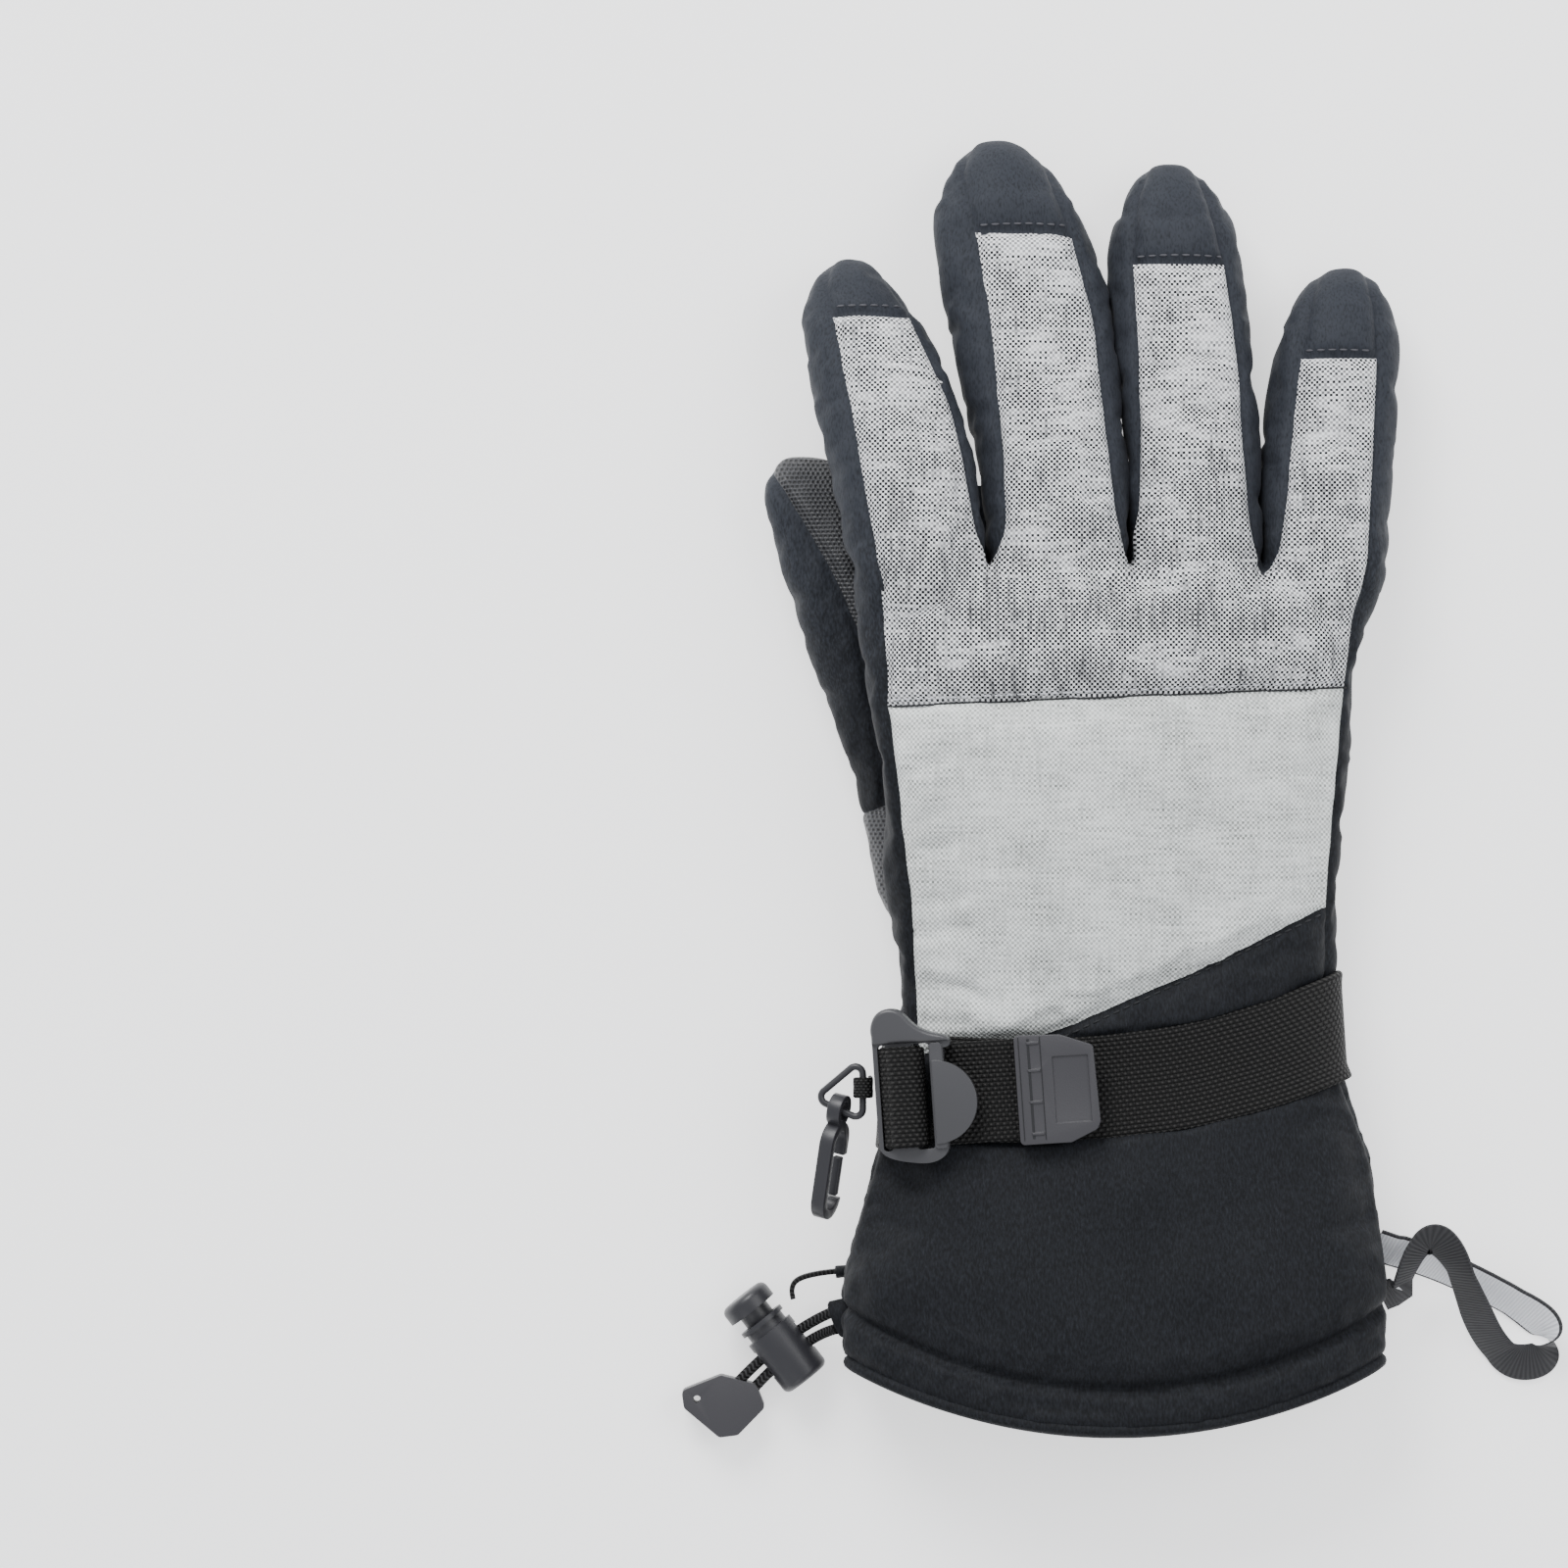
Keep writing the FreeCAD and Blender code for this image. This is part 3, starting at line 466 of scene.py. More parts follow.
class Value:
    """A number in a shader; arithmetic on it adds Math nodes."""

    def __init__(self, tree, socket):
        self.tree, self.socket = tree, socket

    def maths(self, operation, other=0.0):
        result = node(self.tree, "Math", {"operation": operation}, i0=self, i1=other)
        return Value(self.tree, result.outputs[0])

    def __add__(self, other):
        return self.maths("ADD", other)

    def __sub__(self, other):
        return self.maths("SUBTRACT", other)

    def __mul__(self, other):
        return self.maths("MULTIPLY", other)

    def __truediv__(self, other):
        return self.maths("DIVIDE", other)

    def sine(self):
        return self.maths("SINE")

    def size(self):
        return self.maths("ABSOLUTE")

    def floor(self):
        return self.maths("FLOOR")

    def clamped(self, low, high):
        return self.maths("MAXIMUM", low).maths("MINIMUM", high)

    def is_odd(self):
        """1 for odd whole numbers above -400, 0 for even ones."""
        return (self + 400.0).maths("MODULO", 2.0)


def rest_place(tree):
    """Coordinates in mm of the piece as sewn."""
    return node(tree, "Attribute", {"attribute_name": "rest"}).outputs["Vector"]


def at_rest(tree, scale=(1, 1, 1), turn=0.0):
    """Coordinates in mm of the piece as sewn, stretched by scale."""
    return node(tree, "Mapping", Vector=rest_place(tree), Scale=scale, Rotation=(0, 0, turn)).outputs[0]


def axes_of(tree, vector):
    return [Value(tree, socket) for socket in node(tree, "SeparateXYZ", Vector=vector).outputs]


def noise(tree, vector, detail=2.0, rough=0.5):
    made_node = node(tree, "TexNoise", Vector=vector, Scale=1.0, Detail=detail, Roughness=rough)
    return Value(tree, made_node.outputs["Fac"])


def ramp(tree, factor, stops):
    """Colour ramp over (position, colour) stops."""
    made_node = node(tree, "ValToRGB", Fac=factor)
    elements = made_node.color_ramp.elements
    while len(elements) < len(stops):
        elements.new(0.5)
    for element, (position, colour) in zip(elements, stops):
        element.position = position
        element.color = (*colour, 1)
    return made_node.outputs["Color"]


def tint(tree, shade, factor, stops):
    """Colours a shader by a ramp."""
    tree.links.new(ramp(tree, factor, stops), shade.inputs["Base Color"])


def bump(tree, shade, height, strength, distance):
    made_node = node(tree, "Bump", Height=height, Strength=strength, Distance=distance)
    tree.links.new(made_node.outputs[0], shade.inputs["Normal"])


def heather(name, low, high, pitch, contrast, level, melange, lift=0.0):
    """Melange plain weave: light threads one way, dark the other, each changing shade along its length; lift
    adds painted light, paler towards the fingertips.
    """
    material, tree, shade = shader(name, high, 0.85, Specular_IOR_Level=0.2)
    x, y, _ = axes_of(tree, at_rest(tree))
    threads = []
    for along, across in ((x, y), (y, x)):
        number = (across / pitch).floor() * 7.31
        spot = node(tree, "CombineXYZ", i0=along * 0.13, i1=number, i2=number * 0.37)
        threads.append(noise(tree, spot.outputs[0], 3.0, 0.65))
    checks = node(tree, "TexChecker", Vector=at_rest(tree, (1, 1, 0)), Scale=1 / pitch, Color1=(1, 1, 1, 1),
                  Color2=(0, 0, 0, 1))
    checker = Value(tree, checks.outputs["Fac"])
    mixed = node(tree, "Mix", {"data_type": "FLOAT"}, i0=checker, i2=threads[0], i3=threads[1])
    weave = Value(tree, mixed.outputs[0])
    patch = noise(tree, at_rest(tree, (0.07, 0.09, 0.08)))
    tone = (checker - 0.5) * contrast + (weave - 0.5) * melange + (patch - 0.5) * (melange * 0.5)
    # painted light: from y = 50 the tone is raised by up to lift, so the weave is paler towards the
    # fingertips
    if lift:
        tone = tone + ((y - 50.0) * (lift / 50)).clamped(0.0, lift)
    tint(tree, shade, tone + level, ((0.0, low), (1.0, high)))
    ridges = (x * (math.pi / pitch)).sine() * (y * (math.pi / pitch)).sine()
    bump(tree, shade, ridges + weave, 0.35, 0.0003)
    return material


def fabric(name, low, high, roughness, grain, strength, sheen):
    """Plain dark fabric with a fine twill grain, made a little paler towards the fingertips by painted light.
    """
    material, tree, shade = shader(name, high, roughness, Sheen_Weight=sheen, Sheen_Roughness=0.4,
                                   Specular_IOR_Level=0.18)
    twill = noise(tree, at_rest(tree, (grain, grain * 0.35, grain), 0.6))
    # painted light: the tone rises with rest y, so the fabric is paler towards the fingertips
    painted_fingertip_light = (axes_of(tree, at_rest(tree))[1] * 0.006).clamped(0.0, 0.45)
    tint(tree, shade, twill + painted_fingertip_light, ((0.35, low), (0.65, high), (1.0, [c * 2.4 for c in high])))
    bump(tree, shade, twill, strength, 0.0004)
    return material


def embossed(name):
    """Polyurethane leather pressed all over with rows of small staggered pits."""
    material, tree, shade = shader(name, (0.03, 0.031, 0.034), 0.42, Specular_IOR_Level=0.35)
    x, y, _ = axes_of(tree, at_rest(tree))
    down = y / PIT_PITCH
    over = x / (PIT_PITCH * 1.15) + down.floor().is_odd() * 0.5
    pit = (over * math.pi).sine().size() * (down * math.pi).sine().size()
    # painted shade: the pits are coloured darker than the leather between them
    tint(tree, shade, pit, ((0.25, (0.05, 0.051, 0.055)), (0.75, (0.008, 0.008, 0.009))))
    bump(tree, shade, pit * -1.0, 0.7, 0.0004)
    return material


def woven(name, low, high, across_pitch, along_pitch):
    """Coarse webbing: raised picks in rows; the rest coordinates run along x and across y."""
    material, tree, shade = shader(name, high, 0.6, Specular_IOR_Level=0.2)
    u, v, _ = axes_of(tree, at_rest(tree))
    shift = (v / across_pitch).floor().is_odd() * (along_pitch / 2)
    pick = ((u + shift) * (2 * math.pi / along_pitch)).sine()
    height = (pick + 1.4) * (v * (math.pi / across_pitch)).sine().size()
    # painted highlight and painted shade: the raised picks are coloured lighter and the hollows between the
    # rows darker
    tint(tree, shade, height * 0.42, ((0.1, low), (0.95, high)))
    bump(tree, shade, height, 0.8, 0.0004)
    return material


def moulded(name, colour, roughness, grain=0.15):
    """Moulded plastic with a faint grain."""
    material, tree, shade = shader(name, colour, roughness)
    where = node(tree, "TexCoord").outputs["Object"]
    speckle = node(tree, "TexNoise", Vector=where, Scale=2200.0, Detail=2.0)
    bump(tree, shade, speckle.outputs["Fac"], grain, 0.0001)
    return material


def braided_cord(name):
    """Braided sheath: strands crossing in chevrons along the cord."""
    material, tree, shade = shader(name, (0.02, 0.02, 0.02), 0.7, Specular_IOR_Level=0.25)
    u, v, _ = axes_of(tree, node(tree, "TexCoord").outputs["UV"])
    lean = ((v * 4.0).maths("MODULO", 1.0) - 0.5).size()
    strand = ((u * 30.0 + lean) * (2 * math.pi)).sine()
    # painted highlight and painted shade: the strands are coloured lighter on their crests and darker between
    # them
    tint(tree, shade, strand * 0.5 + 0.5, ((0.1, (0.002, 0.002, 0.002)), (0.9, (0.05, 0.05, 0.052))))
    bump(tree, shade, strand, 0.8, 0.0004)
    return material


def two_tone_ribbon():
    """White on the inner face with black edge threads, black on the outer face."""
    material, tree, shade = shader("ribbon", (0.8, 0.8, 0.8), 0.7)
    along, across, outer = axes_of(tree, rest_place(tree))
    dark = across.size().maths("GREATER_THAN", 4.6).maths("MAXIMUM", outer)
    grain = (along * (2 * math.pi / 0.8)).sine()
    mix = node(tree, "Mix", {"data_type": "RGBA"}, i0=dark)
    # painted highlight and painted shade: on both faces the colour follows the ribs, lighter on them and
    # darker in the hollows between
    for socket, low, high in ((mix.inputs[6], (0.62, 0.63, 0.66), (0.82, 0.83, 0.85)),
                              (mix.inputs[7], (0.01, 0.01, 0.012), (0.03, 0.03, 0.033))):
        tree.links.new(ramp(tree, grain * 0.5 + 0.5, ((0.0, low), (1.0, high))), socket)
    tree.links.new(mix.outputs[2], shade.inputs["Base Color"])
    bump(tree, shade, grain, 0.3, 0.0002)
    return material


def all_materials():
    made = [
        # painted light: lift makes the dark heather paler towards the fingertips
        heather("dark_heather", (0.008, 0.0085, 0.011), (0.97, 0.98, 1.0), 0.64, contrast=0.95, level=0.38,
                melange=2.3, lift=0.22),
        heather("light_heather", (0.12, 0.13, 0.12), (0.9, 0.93, 0.91), 0.62, contrast=0.5, level=0.66,
                melange=1.2),
        fabric("softshell", (0.0045, 0.005, 0.0062), (0.0115, 0.013, 0.0165), 0.7, 2.2, 0.25, 0.03),
        embossed("embossed_palm"),
        fabric("lining", (0.02, 0.02, 0.022), (0.05, 0.05, 0.055), 0.95, 0.8, 0.6, 0.3),
        woven("webbing", (0.001, 0.001, 0.001), (0.032, 0.031, 0.03), 1.07, 1.6),
        woven("braid", (0.003, 0.003, 0.003), (0.04, 0.04, 0.04), 0.7, 1.0),
        two_tone_ribbon(),
        braided_cord("elastic_cord"),
        moulded("buckle_plastic", (0.05, 0.05, 0.054), 0.36),
        moulded("soft_rubber", (0.038, 0.037, 0.042), 0.48, 0.3),
        moulded("hardware_plastic", (0.022, 0.022, 0.026), 0.4),
        moulded("spring_steel", (0.4, 0.4, 0.4), 0.35),
        shader("thread", (0.012, 0.013, 0.015), 0.8)[0],
        shader("pale_thread", (0.07, 0.07, 0.08), 0.8)[0],
        shader("light_thread", (0.55, 0.56, 0.6), 0.8)[0],
    ]
    return {material.name.split(".")[0]: material for material in made}


# ---------------------------------------------------------------- sewing
FAMILY = {"knuckle_panel": "dark", "palm_panel": "palm", "radial_side_panel": "side",
          "ulnar_side_panel": "side", "thumb_gusset": "thumb"}


def family(name):
    for part, kind in (("_back_strip", "dark"), ("_palm_strip", "palm"), ("_fourchettes", "side")):
        if name.endswith(part):
            return kind
    return FAMILY.get(name, name)


def family_codes(names):
    kinds = sorted({family(n) for n in names})
    return np.array([kinds.index(family(n)) for n in names])


def settle(points, faces, pinned, growth):
    """Soft padding: cloth that is a little too long for the glove swells between its sewn, fixed seams."""
    thing = new_object("settling", points, faces, 1 / SETTLE_SCALE)
    group = thing.vertex_groups.new(name="sewn")
    group.add(np.flatnonzero(pinned).tolist(), 1.0, "REPLACE")
    cloth = thing.modifiers.new("cloth", "CLOTH")
    setup = cloth.settings
    values = {"quality": 5, "mass": 0.25, "tension_stiffness": 18, "compression_stiffness": 18,
              "shear_stiffness": 6, "bending_stiffness": 0.35, "air_damping": 3, "use_pressure": True,
              "uniform_pressure_force": 1.6, "shrink_min": -growth, "vertex_group_mass": "sewn",
              "pin_stiffness": 1}
    for key, value in values.items():
        setattr(setup, key, value)
    setup.effector_weights.gravity = 0
    cloth.collision_settings.use_collision = False
    cloth.point_cache.frame_end = SETTLE_FRAMES
    for number in range(1, SETTLE_FRAMES + 1):
        bpy.context.scene.frame_set(number)
    result = evaluated(thing)[0] * SETTLE_SCALE
    bpy.context.scene.frame_set(1)
    bpy.data.objects.remove(thing)
    return result


def border_edges(faces, label):
    """Edges between faces of different labels, and their two labels."""
    quads = np.array(faces)
    pairs = np.sort(np.stack([quads, np.roll(quads, -1, 1)], -1).reshape(-1, 2), 1)
    owner = np.repeat(np.arange(len(quads)), 4)
    order = np.lexsort((pairs[:, 1], pairs[:, 0]))
    pairs, owner = pairs[order], owner[order]
    same = (pairs[1:] == pairs[:-1]).all(1)
    first = np.flatnonzero(same)
    a, b = label[owner[first]], label[owner[first + 1]]
    differ = a != b
    return pairs[first][differ], np.stack([a, b], 1)[differ]


def straighten(points, edges, passes=14):
    """Evens out the stepped borders between panels."""
    degree = np.bincount(edges.ravel(), minlength=len(points))
    line = degree == 2
    points = points.copy()
    for _ in range(passes):
        points[line] = points[line] * 0.4 + neighbour_sum(points, edges)[line] / 2 * 0.6
    return points


def vertex_normals(points, faces):
    mesh = new_mesh("normals", points, faces)
    normals = np.empty(len(points) * 3)
    mesh.vertices.foreach_get("normal", normals)
    bpy.data.meshes.remove(mesh)
    return normals.reshape(-1, 3)


def distance_to(points, targets):
    tree = KDTree(len(targets))
    for k, p in enumerate(targets):
        tree.insert(p, k)
    tree.balance()
    return np.array([tree.find(p)[2] for p in points])


def sewn_skin(points, faces, names, labeller, growth):
    """Settles a skin, divides it into panels and works out how far its seams press in. Returns its points,
    rest points, faces, labels of faces, normals, lift along the normals and distance to the nearest seam."""
    kinds = family_codes(names)
    kind = kinds[labeller(points)]
    edges = edges_of(faces)
    crossing = edges[kind[edges[:, 0]] != kind[edges[:, 1]]]
    pinned = np.zeros(len(points), bool)
    pinned[crossing.ravel()] = True
    settled = settle(points, faces, pinned, growth)
    rest, fine_faces = modified(points, faces, "SUBSURF", levels=1, render_levels=1)
    fine = modified(settled, faces, "SUBSURF", levels=1, render_levels=1)[0]
    move = fine - rest
    size = np.linalg.norm(move, axis=1, keepdims=True)
    move *= np.minimum(1, SWELL_LIMIT / np.maximum(size, 1e-9))
    move *= np.clip(1 - strap_cover(rest) / 3, 0.0, 1)[:, None]
    quads = np.array(fine_faces)
    label = labeller(rest[quads].mean(1))
    borders, sides = border_edges(fine_faces, label)
    shape = straighten(rest + move, borders)
    rest = straighten(rest, borders)
    seams = borders[kinds[sides[:, 0]] != kinds[sides[:, 1]]]
    away = distance_to(shape, shape[np.unique(seams)])
    normals = vertex_normals(shape, fine_faces)
    facing = 0.3 + 0.7 * np.abs(normals[:, 2])
    groove = (-0.8 * np.exp(-(away / 1.6) ** 2) - 0.6 * np.exp(-away / 0.6)) * facing
    pucker = 0.4 * facing * wave(rest, 7, 3) * np.exp(-away / 5) * (1 - np.exp(-(away / 1.5) ** 2))
    soft = (0.45 * wave(rest, 26, 5) + 0.5 * wave(rest * (1, 0.45, 1), 21, 11)) * np.clip(away / 8, 0, 1)
    press = -0.7 * np.clip(strap_cover(rest) / 2 + 0.5, 0, 1)
    open_share = np.clip(1 - strap_cover(rest) / 2, 0, 1)
    lift = groove + (pucker + soft) * open_share + press
    return shape, rest, fine_faces, label, normals, lift, away


def resting(points):
    """The points with what would sink into the surface below pressed flat on it."""
    z = points[:, 2]
    flat = FLOOR_CLEAR + (1 - FLOOR_CLEAR) * np.exp(np.minimum(z - 1, 0))
    return np.stack([points[:, 0], points[:, 1], np.where(z < 1, flat, z)], -1)


def panel(name, points, rest, faces, normals, material):
    """One panel as its own object, keeping the shading of the whole skin."""
    used, inverse = np.unique(np.array(faces), return_inverse=True)
    local = inverse.reshape(len(faces), -1)
    thing = new_object(name, points[used], local.tolist(), MM)
    mesh = thing.data
    mesh.shade_smooth()
    mesh.normals_split_custom_set_from_vertices(normals[used].tolist())
    keep_rest(mesh, rest[used])
    mesh.materials.append(material)
    return thing


def keep_rest(mesh, rest):
    attribute = mesh.attributes.new("rest", "FLOAT_VECTOR", "POINT")
    attribute.data.foreach_set("vector", np.asarray(rest, np.float32).ravel())


def soft_piece(name, points, faces, material):
    """A smooth fabric piece shaped where it lies."""
    thing = new_object(name, points, faces, MM)
    thing.data.shade_smooth()
    keep_rest(thing.data, np.reshape(points, (-1, 3)))
    thing.data.materials.append(material)
    return thing


CLOTH_OF = {"knuckle_panel": "dark_heather", "_back_strip": "dark_heather", "back_panel": "light_heather",
            "palm_panel": "embossed_palm", "_palm_strip": "embossed_palm", "thumb_gusset": "embossed_palm",
            "thumb_palm_wrap": "embossed_palm"}
# CAD pieces hidden inside, by the fabric panel that stands for them too
INNER = {"cuff_palm": ("cuff_insulation",), "palm_panel": ("hand_insulation",),
         "thumb_back": ("thumb_insulation", "thumb_lining")}


def cloth_of(name):
    """A panel's material: its own, or that of its kind on each finger, or else the softshell."""
    return CLOTH_OF.get(name) or CLOTH_OF.get(name[name.index("_"):], "softshell")


def attach(thing, name):
    """Fixes a fabric piece to the hand; a piece of a finger, or of the thumb other than its gusset, only has
    its placement baked into its mesh.
    """
    first = name.split("_")[0]
    if first in FINGERS:
        _, left, right, z, _ = FINGERS[first][0]
        x, z = (left + right) / 2, z - 3
        x * MM
        z * MM
        x * MM
        z * MM
        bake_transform(thing)
    elif first == "thumb" and name != "thumb_gusset":
        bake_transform(thing)
    else:
        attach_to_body(thing, "hand")


def shirring(rest):
    """Gathers of the elastic wrist on the palm side."""
    x, y = rest[:, 0], rest[:, 1]
    fold = np.sin(x * 2 * np.pi / 5.2 + 1.6 * wave(rest, 18, 9)) * (0.6 + 0.4 * np.sin(y * 2 * np.pi / 9))
    fade = np.clip(1 - np.abs(y + 58) / 9.5, 0, 1) ** 0.5
    low = rest[:, 2] < mid_height(rest) - 2
    inside = np.clip((x + 42) / 6, 0, 1) * np.clip((60 - x) / 6, 0, 1)
    return 1.1 * fold * fade * inside * low


def cut_panels(shape, rest, faces, label, names, materials):
    """Cuts a finished skin into its panels, one piece each."""
    normals = vertex_normals(shape, faces)
    quads = np.array(faces)
    for code, name in enumerate(names):
        mine = quads[label == code]
        if name == "cut_off" or not len(mine):
            continue
        thing = panel("fabric_" + name, shape, rest, mine.tolist(), normals, materials[cloth_of(name)])
        first = name.split("_")[0]
        inner = INNER.get(name, ())
        if name.endswith("_fourchettes"):
            inner = (first + "_insulation", first + "_lining")
        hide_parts(name, *inner)
        attach(thing, name)


def glove(materials):
    """Every fabric panel of the hand, cuff and fingers."""
    shape, rest, faces, label, normals, lift, away = sewn_skin(*glove_skin(), LABELS, hand_labels, 0.035)
    y = rest[:, 1]
    cuff = np.clip((CUFF_SEAM_Y - 12 - y) / 20, 0, 1)
    folds = 1.3 * wave(rest * (1, 0.35, 1), 46, 21) + 0.5 * wave(rest * (1, 0.5, 1), 18, 22)
    lift = lift + cuff * folds * np.clip(away / 9, 0, 1)
    hem = np.abs(beyond(rest, HEM_SEAM_ARC))
    lift = lift - 0.9 * np.exp(-(hem / 1.2) ** 2) * (y < CUFF_SEAM_Y) + shirring(rest)
    shape = resting(shape + normals * lift[:, None])
    cut_panels(shape, rest, faces, label, LABELS, materials)
    return shape, faces


def thumb_labels(p):
    x, y, z = p.T
    along = (p[:, :2] - THUMB_PIVOT) @ THUMB_AXIS
    label = np.full(len(p), 1)
    wrap = np.interp(y, (0, 36.4, 51.6, 65, 74.7, 84), (-48, -53.9, -60.8, -68.9, -75.2, -80))
    under = np.interp(y, (0, 30, 60, 84), (-50, -60, -70, -76))
    label[np.where(z > 10, x > wrap, x > under)] = 0
    label[(y > 73) & (z <= 10)] = 1
    label[along < -THUMB_BACK] = 2
    return label


def thumb(materials):
    """The thumb's fabric pieces and the gusset it grows from."""
    rows = full_rows(THUMB)
    points, faces = remeshed([tube(rows, 2.3)], SKIN_PITCH)
    points = relax(points, edges_of(faces), 3)
    shape, rest, faces, label, normals, lift, _ = sewn_skin(points, faces, THUMB_NAMES, thumb_labels, 0.03)
    cut_panels(resting(shape + normals * lift[:, None]), rest, faces, label, THUMB_NAMES, materials)


# ---------------------------------------------------------------- webbing, ribbon and hardware
BUCKLE_CENTRE = np.array((-37.7, -75.4, 35.5))
BUCKLE_SLANT, BUCKLE_RISE = 4.0, 8.0
LEASH_ROUTE = ((75.4, -113.6, 13.0), (84.0, -116.2, 9.4), (96.0, -121.6, 6.0), (107.6, -127.6, 4.2),
               (115.6, -133.8, 3.4), (114.2, -141.0, 3.4), (106.0, -142.2, 3.6), (99.2, -135.4, 5.4),
               (94.4, -124.0, 12.0), (90.2, -114.4, 14.6), (84.8, -109.8, 16.6), (80.0, -115.4, 16.0),
               (77.8, -122.8, 13.2))
DRAWCORDS = {
    "drawcord_a": ((-59.8, -128.6, 13.0), (-66.1, -131.4, 7.8), (-80.3, -142.6, 6.6), (-86.0, -149.4, 4.6)),
    "drawcord_b": ((-59.4, -133.0, 12.4), (-63.9, -134.2, 7.8), (-78.1, -145.4, 6.6), (-83.8, -153.2, 4.6))}


def place(thing, slot, body, *cad_nodes):
    """Fixes a piece to the body it rides and hides the CAD pieces it stands for; slot is not used."""
    if cad_nodes:
        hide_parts(*cad_nodes)
    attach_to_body(thing, body)


def unit(v):
    return v / np.maximum(np.linalg.norm(v, axis=-1, keepdims=True), 1e-9)


def spline_points(route):
    """Points along the NURBS spline that has the route as its control points."""
    line = nurbs_cord("route", route, 0)
    mesh = bpy.data.meshes.new_from_object(line)
    points = np.array([v.co for v in mesh.vertices]) / MM
    bpy.data.objects.remove(line)
    return points


def eased(route, count):
    """Points evenly along a route's NURBS spline."""
    curve = spline_points(route)
    along = lengths(curve)
    at = np.linspace(0, along[-1], count)
    return np.stack([np.interp(at, along, curve[:, k]) for k in range(3)], -1)


def webbing_profile(width, thick, count=13):
    """Cross-section of woven webbing: flat faces and full rounded selvages."""
    half = width / 2
    v = np.linspace(-half + thick * 0.5, half - thick * 0.5, count)
    swell = 1 + 0.12 * (np.abs(v) > half - 2.2)
    top = np.stack([v, thick / 2 * swell], -1)
    turn = np.linspace(np.pi / 2, -np.pi / 2, 6)[1:-1]
    right = np.stack([half - thick / 2 + thick / 2 * np.cos(turn), thick / 2 * 1.12 * np.sin(turn)], -1)
    return np.concatenate([top, right, -top, -right])


def ribbon_profile(width, thick):
    half, edge = width / 2, thick / 2
    v = np.array((-half, -half + 0.5, half - 0.5, half))
    return np.concatenate([np.stack([v, (edge * 0.6, edge, edge, edge * 0.6)], -1),
                           np.stack([-v, (-edge * 0.6, -edge, -edge, -edge * 0.6)], -1)])


def band(name, centres, across, profile, material):
    """Sweeps a flat profile along a line; across is the width direction at each point."""
    centres, across = np.asarray(centres, float), np.asarray(across, float)
    tangent = unit(np.gradient(centres, axis=0))
    across = unit(across - (across * tangent).sum(1, keepdims=True) * tangent)
    normal = np.cross(tangent, across)
    points = (centres[:, None] + across[:, None] * profile[None, :, :1]
              + normal[:, None] * profile[None, :, 1:])
    rows, columns = points.shape[:2]
    thing = new_object(name, points, tube_faces(rows, columns), MM)
    keep_rest(thing.data, np.stack([np.repeat(lengths(centres), columns), np.tile(profile[:, 0], rows),
                                    np.tile(profile[:, 1] < 0, rows)], -1))
    thing.data.materials.append(material)
    smooth_by_angle(thing, 50)
    return thing


def strap(name, route, count, across, profile, material):
    """A band along a route's spline, with one width direction."""
    return band(name, eased(route, count), np.tile(across, (count, 1)), profile, material)


def smooth_by_angle(thing, degrees):
    thing.data.shade_smooth()
    mesh = thing.data
    work = bmesh.new()
    work.from_mesh(mesh)
    bmesh.ops.recalc_face_normals(work, faces=work.faces)
    limit = math.radians(degrees)
    for edge in work.edges:
        edge.smooth = len(edge.link_faces) == 2 and edge.calc_face_angle(0) < limit
    work.to_mesh(mesh)
    work.free()


def on_buckle(points):
    """Points given in the buckle's own frame, placed on the glove."""
    slant, rise = math.radians(BUCKLE_SLANT), math.radians(BUCKLE_RISE)
    turn = Matrix.Rotation(slant, 3, "Z") @ Matrix.Rotation(-rise, 3, "Y")
    return np.asarray(points, float) @ np.array(turn).T + BUCKLE_CENTRE


def eased_part(cad_node, material, body, edge=0.3, segments=3):
    """A moulded part: the CAD part's own faces cleaned up, with its corners rounded."""
    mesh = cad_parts[cad_node].data.copy()
    mesh.materials.clear()
    thing = bpy.data.objects.new("looks_" + cad_node, mesh)
    bpy.context.scene.collection.objects.link(thing)
    work = bmesh.new()
    work.from_mesh(mesh)
    bmesh.ops.remove_doubles(work, verts=work.verts, dist=0.00001)
    bmesh.ops.dissolve_limit(work, angle_limit=math.radians(2), verts=work.verts, edges=work.edges)
    work.to_mesh(mesh)
    work.free()
    bevel = thing.modifiers.new("rounded", "BEVEL")
    bevel.width = edge * MM
    bevel.segments = segments
    bevel.limit_method = "ANGLE"
    bevel.angle_limit = math.radians(35)
    graph = bpy.context.evaluated_depsgraph_get()
    thing.data = bpy.data.meshes.new_from_object(thing.evaluated_get(graph))
    thing.modifiers.clear()
    thing.data.materials.clear()
    thing.data.materials.append(material)
    smooth_by_angle(thing, 32)
    place(thing, material.name.split(".")[0], body, cad_node)
    return thing


def surface_point(x_turn, y, offset):
    """A point outside the hand's nominal skin at a turn about its middle, and at y."""
    return oval(lerp_rows(HAND, y), y, x_turn, -offset)


